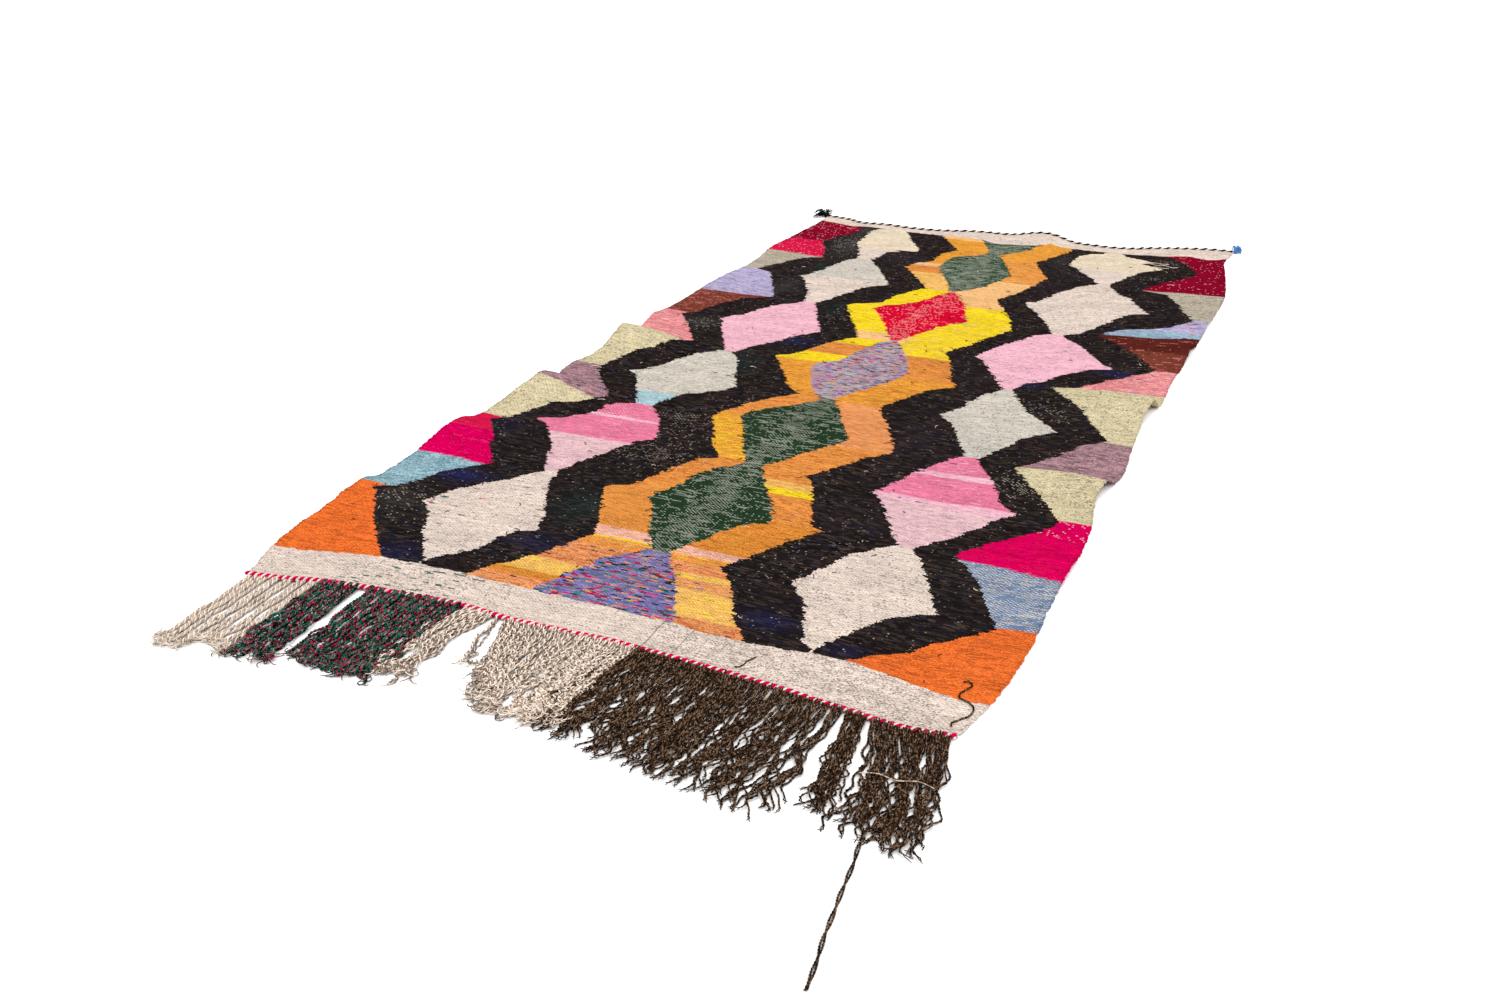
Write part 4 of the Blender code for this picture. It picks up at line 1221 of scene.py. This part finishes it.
def twisted(path, width, plies, turn, flat=1.0, phase=0.0, spread=None):
    """The centre lines of a yarn's plies, twisted round its path."""
    run = np.gradient(path, axis=0)
    run /= np.linalg.norm(run, axis=1)[:, None]
    side = np.cross(run, (0.0, 0.0, 1.0))
    side /= np.linalg.norm(side, axis=1)[:, None]
    up = np.cross(side, run)
    steps = np.linalg.norm(np.diff(path, axis=0), axis=1)
    length = np.concatenate([[0.0], np.cumsum(steps)])
    reach = width / 4 * (1.0 if plies == 2 else 1.25)
    reach = reach * (np.ones(len(path)) if spread is None else spread)
    lines = []
    for ply in range(plies):
        angle = math.tau * (length / turn + ply / plies) + phase
        lines.append(
            path + side * (reach * np.cos(angle))[:, None]
            + up * (flat * reach * np.sin(angle))[:, None]
        )
    return lines


def ply_radius(width, plies):
    return width * {2: 0.27, 3: 0.24, 4: 0.20}[plies]


def rise_in(share, start):
    """0 up to a share, then rising to 1 at the end."""
    return np.clip((share - start) / (1 - start), 0, 1)


# Shares of a strand's length: where it has joined its lock, where its tip starts to turn aside and
# back, and where it starts to fray.
JOINS_LOCK = 0.22
TURNS_ASIDE = 0.72
TURNS_BACK = 0.80
FRAYS_FROM = 0.94

# The waves of a strand: its bundle's snake, its own sway, its crimp and its rise and fall.
SNAKE_WAVE = 0.11
SWAY_WAVES = (0.090, 0.052, 0.031)
FULL_SWAY_WAVE = 0.06
CRIMP_WAVE = 0.0125
SWELL_WAVE = 0.055

# How far the row lifts a strand's root.
ROOT_RISE = 0.0024


def strand_plies(yarn, bundle, spin, root, lock_x, tip, layer, phase):
    """One strand of the fringe, from under the twined row to its frayed tip."""
    share = np.linspace(0, 1, spin.steps + 1)
    y = root[1] + (tip[1] - root[1]) * share
    # A strand leaves the row at its own place and then joins its lock.
    lean = lock_x - root[0]
    x = root[0] + lean * np.minimum(share / JOINS_LOCK, 1) + (tip[0] - lock_x) * share
    x += bundle.bow * np.sin(math.pi * share)
    x += bundle.snake * share * np.sin(math.tau * y / SNAKE_WAVE + phase)
    for wave in SWAY_WAVES:
        sway = spin.wander * yarn.uniform(0.1, 0.8) * np.minimum(share * 1.6, 1)
        x += sway * np.sin(math.tau * y / wave + yarn.uniform(0, math.tau)) * wave / FULL_SWAY_WAVE
    x += yarn.gauss(0, 1.3) * spin.wander * rise_in(share, TURNS_ASIDE) ** 2
    y += abs(yarn.gauss(0, 0.5)) * spin.wander * rise_in(share, TURNS_BACK) ** 2
    if spin.crimp:
        even = np.minimum(4 * share, 1) * spin.crimp
        x += even * np.sin(math.tau * y / CRIMP_WAVE + yarn.uniform(0, 6))
    rest = spin.width / 2 * (0.6 + 0.4 * spin.flat) + layer
    swell = yarn.uniform(0.0002, 0.0016)
    lift = swell * (1 + np.sin(math.tau * y / SWELL_WAVE + yarn.uniform(0, 6)))
    z = rest + lift + ROOT_RISE * np.exp(-share * 22)
    path = laid(x, y, z)
    fray = rise_in(share, FRAYS_FROM)
    width = spin.width * yarn.uniform(0.85, 1.12)
    lines = twisted(path, width, spin.plies, spin.turn * yarn.uniform(0.9, 1.15), spin.flat,
                    yarn.uniform(0, math.tau), 1 + 1.2 * fray)
    radii = ply_radius(width, spin.plies) * (1 - 0.45 * fray)
    plies = []
    kind = yarn.randrange(2) if len(spin.fibres) == 3 else 0
    for number, line in enumerate(lines):
        line[:, 2] = np.maximum(line[:, 2], radii)
        plies.append((line, radii, (number + kind) % len(spin.fibres)))
    for _ in range(spin.frays):
        plies.append(frayed_fibre(yarn, path[-1 - yarn.randrange(4)], spin))
    return plies


# A frayed fibre's lowest place, which is also its radius at the tip, and its highest place.
FIBRE_LOW = 0.0007
FIBRE_HIGH = 0.011


def frayed_fibre(yarn, start, spin):
    """A loose fibre that curls out of a strand's tip."""
    steps = 9
    length = yarn.uniform(0.012, 0.032)
    angle = -math.pi / 2 + yarn.gauss(0, 0.8)
    curl = yarn.choice((-1, 1)) * yarn.uniform(0.10, 0.55)
    points = [np.array([start[0], start[1], max(start[2], 0.0012)])]
    for _ in range(steps):
        angle += curl
        step = length / steps
        ahead = points[-1] + (step * math.cos(angle), step * math.sin(angle), yarn.gauss(0, 0.0004))
        ahead[2] = min(max(ahead[2], FIBRE_LOW), FIBRE_HIGH)
        points.append(ahead)
    radius = np.linspace(0.0013, FIBRE_LOW, steps + 1)
    return np.array(points), radius, yarn.randrange(len(spin.fibres))


def add_yarns(name, plies, fibres, sides=4, depth=0.0):
    """A piece of yarns, with one material for each kind of ply."""
    materials = [
        yarn_material(f"{name}_{number}", kind, depth) for number, kind in enumerate(fibres)
    ]
    return add_object(name, strand_mesh(name, plies, materials, sides))


def smooth_route(points, count):
    """Evenly counted points on a smooth curve through a route's own points."""
    points = np.array(points, dtype=float)
    last = len(points) - 1
    places = np.linspace(0, last, count + 1)
    i = np.minimum(places.astype(int), last - 1)
    t = (places - i)[:, None]
    before, start, end, after = (points[np.clip(i + k, 0, last)] for k in (-1, 0, 1, 2))
    return 0.5 * (
        2 * start + (end - before) * t + (2 * before - 5 * start + 4 * end - after) * t**2
        + (3 * start - before - 3 * end + after) * t**3
    )


# How far the floor reaches each way, and how far it lies under the rug.
FLOOR_REACH = 30.0
FLOOR_GAP = 0.0004

# How far loose yarns lie above what they rest on.
YARN_GAP = 0.0004


class RUG_OT_stage(bpy.types.Operator):
    """Lay the pale floor, set the soft light and place the camera."""
    bl_idname = "rug.stage"
    bl_label = "Set the stage"

    def execute(self, context):
        stage = context.scene.rug_stage
        bm = bmesh.new()
        bmesh.ops.create_grid(bm, x_segments=1, y_segments=1, size=FLOOR_REACH)
        bmesh.ops.translate(bm, verts=bm.verts, vec=(0, 0, -FLOOR_GAP))
        mesh = bpy.data.meshes.new("floor")
        bm.to_mesh(mesh)
        bm.free()
        floor = add_object("floor", mesh)
        net = Net("floor")
        net.put(net.shader.inputs["Base Color"], (*stage.floor, 1))
        mesh.materials.append(net.material)

        world = bpy.data.worlds.new("studio")
        world.use_nodes = True
        sky = world.node_tree.nodes["Background"]
        sky.inputs["Color"].default_value = (1, 1, 1, 1)
        sky.inputs["Strength"].default_value = stage.sky_strength
        context.scene.world = world
        sun = bpy.data.lights.new("soft_sun", "SUN")
        sun.energy = stage.sun_strength
        sun.angle = math.radians(stage.sun_spread)
        light = add_object("soft_sun", sun)
        light.rotation_euler = (math.radians(stage.sun_tilt), math.radians(stage.sun_lean), 0)

        lens = bpy.data.cameras.new("camera")
        lens.lens = stage.lens
        lens.sensor_width = 36
        lens.clip_end = 100
        camera = add_object("camera", lens)
        turn = Matrix.Rotation(math.radians(stage.yaw), 4, "Z")
        turn = turn @ Matrix.Rotation(math.radians(90 - stage.pitch), 4, "X")
        turn = turn @ Matrix.Rotation(math.radians(stage.roll), 4, "Z")
        camera.matrix_world = Matrix.Translation(stage.place) @ turn
        context.scene.camera = camera
        context.scene.view_settings.view_transform = "Standard"
        return {"FINISHED"}


# How much narrower the cloth's outer columns are, and how near a side edge a point belongs to it.
EDGE_CROWDING = 0.6
AT_EDGE = 1e-4


class RUG_OT_cloth(bpy.types.Operator):
    """Weave the cloth: one thin sheet on its folds, with the pattern on its points."""
    bl_idname = "rug.cloth"
    bl_label = "Weave the cloth"

    def execute(self, context):
        cloth = context.scene.rug_cloth
        bm = bmesh.new()
        bmesh.ops.create_grid(bm, x_segments=cloth.columns, y_segments=cloth.rows, size=0.5)
        mesh = bpy.data.meshes.new("rug")
        bm.to_mesh(mesh)
        bm.free()
        places = np.empty(3 * len(mesh.vertices))
        mesh.vertices.foreach_get("co", places)
        places = places.reshape(-1, 3)
        even, along = places[:, 0] + 0.5, places[:, 1] + 0.5
        # Columns are narrower towards the side edges.
        across = even - EDGE_CROWDING * np.sin(math.tau * even) / math.tau
        x, y = cloth_plan(across, along)
        height = cloth_underside(x, y, across, along) + cloth.thickness
        write_pattern(mesh, across, along, x, y)
        worn = random.Random(4)
        outward = np.where(even < AT_EDGE, -1.0, np.where(even > 1 - AT_EDGE, 1.0, 0.0))
        wear = np.array([worn.uniform(-1, 1) for _ in range(len(x))])
        x = x + outward * wear * cloth.edge_wear
        mesh.vertices.foreach_set("co", laid(x, y, height).ravel())
        mesh.update()
        mesh.shade_smooth()
        mesh.materials.append(weave_material())
        rug = add_object("rug", mesh)
        body = rug.modifiers.new("thickness", "SOLIDIFY")
        body.thickness = cloth.thickness
        body.offset = -1
        dress(rug, "rug_weave")
        return {"FINISHED"}


class RUG_OT_loose_ends(bpy.types.Operator):
    """Scatter the short yarn ends that stand out of the cloth."""
    bl_idname = "rug.loose_ends"
    bl_label = "Scatter the loose ends"

    def execute(self, context):
        yarn = random.Random("loose ends")
        fibres = (("black", "bark"), ("cream_yarn", "ecru"), ("brown_yarn", "brown_dark"))
        borders = list(LINES.values())
        plies = []
        for number in range(context.scene.rug_trim.loose_ends):
            if number % 3:
                # These stand out where two colours meet.
                place_y = yarn.uniform(0.20, 2.64)
                place_x = float(line_at(yarn.choice(borders), place_y)) + yarn.gauss(0, 0.003)
            else:
                across, along = yarn.uniform(0.03, 0.97), yarn.uniform(0.04, 0.98)
                plan_x, plan_y = cloth_plan(np.array([across]), np.array([along]))
                place_x, place_y = float(plan_x[0]), float(plan_y[0])
            angle, curl = yarn.uniform(0, math.tau), yarn.uniform(-0.5, 0.5)
            steps = 6
            length = yarn.uniform(0.006, 0.018)
            x, y = [place_x], [place_y]
            for _ in range(steps):
                angle += curl
                x.append(x[-1] + length / steps * math.cos(angle))
                y.append(y[-1] + length / steps * math.sin(angle))
            top = cloth_top(np.array(x), np.array(y))
            height = top + YARN_GAP + 0.0012 * np.sin(np.linspace(0, math.pi, steps + 1))
            path = laid(x, np.array(y), height)
            radius = np.linspace(0.0009, 0.0005, steps + 1)
            kind = 0 if number % 3 else yarn.choice((0, 1, 2))
            plies.append((path, radius, kind))
        x, y = np.array(DARK_END).T
        path = laid(x, y, cloth_top(x, y) + 0.0012)
        plies.append((path, np.full(len(path), 0.0011), 2))
        for thread in PALE_THREADS:
            x, y = np.array(thread).T
            path = smooth_route(laid(x, y, cloth_top(x, y) + 0.0014), 12)
            plies.append((path, np.full(len(path), 0.0010), 1))
        ends = add_yarns("loose_ends", plies, fibres)
        dress(ends, "rug_weave", stands_in=False)
        return {"FINISHED"}


# A twined row: how far outside the cloth's end it lies, its middle's height in its own widths, and
# the thickness of its coloured and its cream ply, beside a plain ply's.
ROW_OUT = 0.0030
ROW_REST = 0.53
COLOURED_PLY = 1.25
CREAM_PLY = 0.85


class RUG_OT_twined_rows(bpy.types.Operator):
    """Twine a coloured and a cream yarn along both ends of the cloth."""
    bl_idname = "rug.twined_rows"
    bl_label = "Twine the end rows"

    def twine(self, name, along, outward, width, turn, colour):
        turns = round(WOVEN_WIDTH / turn)
        across = np.linspace(0.001, 0.999, 8 * turns + 1)
        x, y = cloth_plan(across, np.full(len(across), float(along)))
        height = cloth_underside(x, y, across, np.full(len(x), float(along)))
        path = laid(x, y + outward, height + ROW_REST * width)
        coloured, cream = twisted(path, width, 2, turn)
        radius = np.full(len(path), ply_radius(width, 2))
        plies = [(coloured, COLOURED_PLY * radius, 0), (cream, CREAM_PLY * radius, 1)]
        row = add_yarns(name + "_yarns", plies, ((colour,), ("cream_yarn", "cream")), sides=6)
        dress(row, name)

    def execute(self, context):
        trim = context.scene.rug_trim
        self.twine("twining_red", 0, -ROW_OUT, trim.red_width, trim.red_turn, "red_stitch")
        self.twine("twining_black", 1, ROW_OUT, trim.black_width, trim.black_turn, "black_stitch")
        return {"FINISHED"}


class RUG_OT_fringe(bpy.types.Operator):
    """Spin the warp fringe, strand by strand, in its five yarns."""
    bl_idname = "rug.fringe"
    bl_label = "Spin the fringe"

    def execute(self, context):
        for name, bundles in FRINGES.items():
            yarn = random.Random(name)
            spin = SPINS[name]
            plies = []
            for number, bundle in enumerate(bundles):
                for lock in range(bundle.locks):
                    plies += self.lock(yarn, spin, bundle, lock, number)
            if name == "fringe_brown":
                x, y = smooth_route(PALE_YARN, 40).T
                path = laid(x, y, np.full(len(x), 0.0105))
                plies.append((path, np.full(len(path), 0.0010), 2))
                spin = spin._replace(fibres=(*spin.fibres, ("ecru", "heather_grey")))
            fringe = add_yarns(name + "_strands", plies, spin.fibres, depth=spin.depth)
            dress(fringe, name)
        return {"FINISHED"}

    def lock(self, yarn, spin, bundle, lock, number):
        """The strands of one lock, which hang together."""
        plies = []
        share = (lock + 0.5) / bundle.locks
        wide = (bundle.root_right - bundle.root_left) / bundle.locks
        middle = bundle.root_left + (bundle.root_right - bundle.root_left) * share
        tip_x = bundle.tip_left + (bundle.tip_right - bundle.tip_left) * share
        tip_x += yarn.gauss(0, 1.1) * spin.wander
        tip_y = bundle.left_tip + (bundle.right_tip - bundle.left_tip) * share
        for n in range(spin.strands):
            beside = wide * ((n + 0.5) / spin.strands - 0.5)
            root_x = middle + beside
            root_y = float(smooth_value(ENDS, "front", root_x)) - 0.002
            tip = (tip_x + 0.8 * beside + yarn.gauss(0, 0.6) * spin.wander,
                   tip_y + yarn.uniform(-1, 1) * spin.ragged)
            layer = 0.0 if spin.strands == 1 else ((n + lock) % 2) * 0.8 * spin.width
            plies += strand_plies(yarn, bundle, spin, (root_x, root_y), middle + 0.75 * beside,
                                  tip, layer, number)
        return plies


# The tail: how flat it lies, how far a turn of its plies runs, and how far its knot reaches.
TAIL_FLATNESS = 0.62
TAIL_PLY_TURN = 0.012
KNOT_LENGTH = 0.011


class RUG_OT_tail(bpy.types.Operator):
    """Ply the long tail from two dark yarns and knot its end."""
    bl_idname = "rug.tail"
    bl_label = "Ply the tail"

    def execute(self, context):
        trim = context.scene.rug_trim
        length = sum(math.dist(a, b) for a, b in zip(TAIL_ROUTE, TAIL_ROUTE[1:]))
        x, y = smooth_route(TAIL_ROUTE, 180).T
        path = laid(x, y, np.full(len(x), trim.tail_width / 2 * TAIL_FLATNESS))
        to_end = np.linspace(length, 0, len(path))
        knot = bell(to_end - KNOT_LENGTH, KNOT_LENGTH, KNOT_LENGTH)
        yarns = twisted(path, trim.tail_width, 2, trim.tail_turn, TAIL_FLATNESS, 0.0, 1 - 0.3 * knot)
        plies = []
        for yarn_line in yarns:
            for number, line in enumerate(twisted(yarn_line, trim.yarn_width, 2, TAIL_PLY_TURN)):
                radius = ply_radius(trim.yarn_width, 2) * (1 + 0.5 * knot)
                line[:, 2] = np.maximum(line[:, 2], radius)
                plies.append((line, radius, number))
        fibres = SPINS["fringe_brown"].fibres
        tail = add_yarns("tail_yarns", plies, fibres, sides=6)
        dress(tail, "long_tail")
        return {"FINISHED"}


# How far a turn of the stray yarn's plies runs.
STRAY_PLY_TURN = 0.011


class RUG_OT_stray_yarn(bpy.types.Operator):
    """Lay the dark yarn that strays over the front right corner."""
    bl_idname = "rug.stray_yarn"
    bl_label = "Lay the stray yarn"

    def execute(self, context):
        trim = context.scene.rug_trim
        x, y = smooth_route(YARN_ROUTE, 120).T
        path = laid(x, y, cloth_top(x, y) + trim.yarn_width / 2 + YARN_GAP)
        radius = np.full(len(path), ply_radius(trim.yarn_width, 2))
        lines = twisted(path, trim.yarn_width, 2, STRAY_PLY_TURN)
        plies = [(line, radius, number) for number, line in enumerate(lines)]
        yarn = add_yarns("stray_yarn_plies", plies, SPINS["fringe_brown"].fibres, sides=6)
        dress(yarn, "stray_yarn")
        return {"FINISHED"}


# A tuft: the turns of its knot, their radius and the height of their middle, and the yarns that
# leave it together.
KNOT_TURNS = 3
KNOT_RING = 0.0042
KNOT_MIDDLE = 0.0050
YARNS_PER_END = 9


class RUG_OT_tufts(bpy.types.Operator):
    """Knot the yarn ends at the two far corners."""
    bl_idname = "rug.tufts"
    bl_label = "Knot the tufts"

    def knot(self, name, side, colour):
        trim = bpy.context.scene.rug_trim
        yarn = random.Random(name)
        reach = trim.tuft_radius + YARN_GAP
        x, y = cloth_plan(np.array([float(side > 0)]), np.array([1.0]))
        centre = np.array([float(x[0]) + side * reach, float(y[0]) + reach - TO_MIDDLE, 0.0])
        plies = []
        # The knot is a few turns of yarn wound round each other.
        for turn_number in range(KNOT_TURNS):
            angle = np.linspace(0, math.tau, 25)
            tilt = turn_number * 1.1
            points = np.column_stack([
                KNOT_RING * np.cos(angle), KNOT_RING * np.sin(angle) * math.cos(tilt),
                KNOT_RING * np.sin(angle) * math.sin(tilt) + KNOT_MIDDLE,
            ])
            plies.append((points + centre, np.full(len(points), 0.0016), 0))
        for end in TUFTS[name]:
            for _ in range(YARNS_PER_END):
                angle = math.tau * (end.side + 0.5 + yarn.uniform(-0.5, 0.5)) / 12
                run = np.array([math.cos(angle), math.sin(angle)])
                left = np.array([-run[1], run[0]])
                share = np.linspace(0, 1, 13)
                reach_out = (trim.tuft_radius + end.length * yarn.uniform(0.75, 1.0)) * share
                bend = end.bend * share**2 * yarn.uniform(0.6, 1.2)
                plan = centre[:2] + np.outer(reach_out, run) + np.outer(bend, left)
                lift = yarn.uniform(0.0, 0.020)
                rise = 0.0055 * (1 - share) + 0.0014 + lift * np.sin(0.85 * math.pi * share)
                radius = 0.0017 * (1 - 0.5 * share)
                plies.append((np.column_stack([plan, np.maximum(rise, radius)]), radius, 0))
        tuft = add_yarns(name + "_yarns", plies, ((colour,),))
        dress(tuft, name)

    def execute(self, context):
        self.knot("tuft_black", -1, "black_yarn")
        self.knot("tuft_blue", 1, "blue_yarn")
        return {"FINISHED"}


class RUG_PT_panel(bpy.types.Panel):
    """The rug's steps and settings in the sidebar."""
    bl_idname = "RUG_PT_panel"
    bl_label = "Boucherouite Rug"
    bl_space_type = "VIEW_3D"
    bl_region_type = "UI"
    bl_category = "Rug"

    def draw(self, context):
        layout = self.layout
        for step in STEPS:
            layout.operator(step.bl_idname)
        for settings in SETTINGS:
            group = getattr(context.scene, settings)
            box = layout.box()
            for setting in group.bl_rna.properties:
                if setting.identifier not in ("name", "rna_type"):
                    box.prop(group, setting.identifier)


STEPS = (
    RUG_OT_stage, RUG_OT_tail, RUG_OT_cloth, RUG_OT_loose_ends, RUG_OT_twined_rows,
    RUG_OT_fringe, RUG_OT_stray_yarn, RUG_OT_tufts,
)
SETTINGS = {
    "rug_cloth": RugCloth, "rug_dyes": RugDyes, "rug_trim": RugTrim, "rug_stage": RugStage,
}


def register():
    for settings in SETTINGS.values():
        bpy.utils.register_class(settings)
    for name, settings in SETTINGS.items():
        setattr(bpy.types.Scene, name, PointerProperty(type=settings))
    for step in STEPS:
        bpy.utils.register_class(step)
    bpy.utils.register_class(RUG_PT_panel)


def unregister():
    bpy.utils.unregister_class(RUG_PT_panel)
    for step in reversed(STEPS):
        bpy.utils.unregister_class(step)
    for name, settings in SETTINGS.items():
        delattr(bpy.types.Scene, name)
        bpy.utils.unregister_class(settings)


def main():
    register()
    for step in STEPS:
        group, name = step.bl_idname.split(".")
        getattr(getattr(bpy.ops, group), name)()
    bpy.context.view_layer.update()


if __name__ == "__main__":
    main()
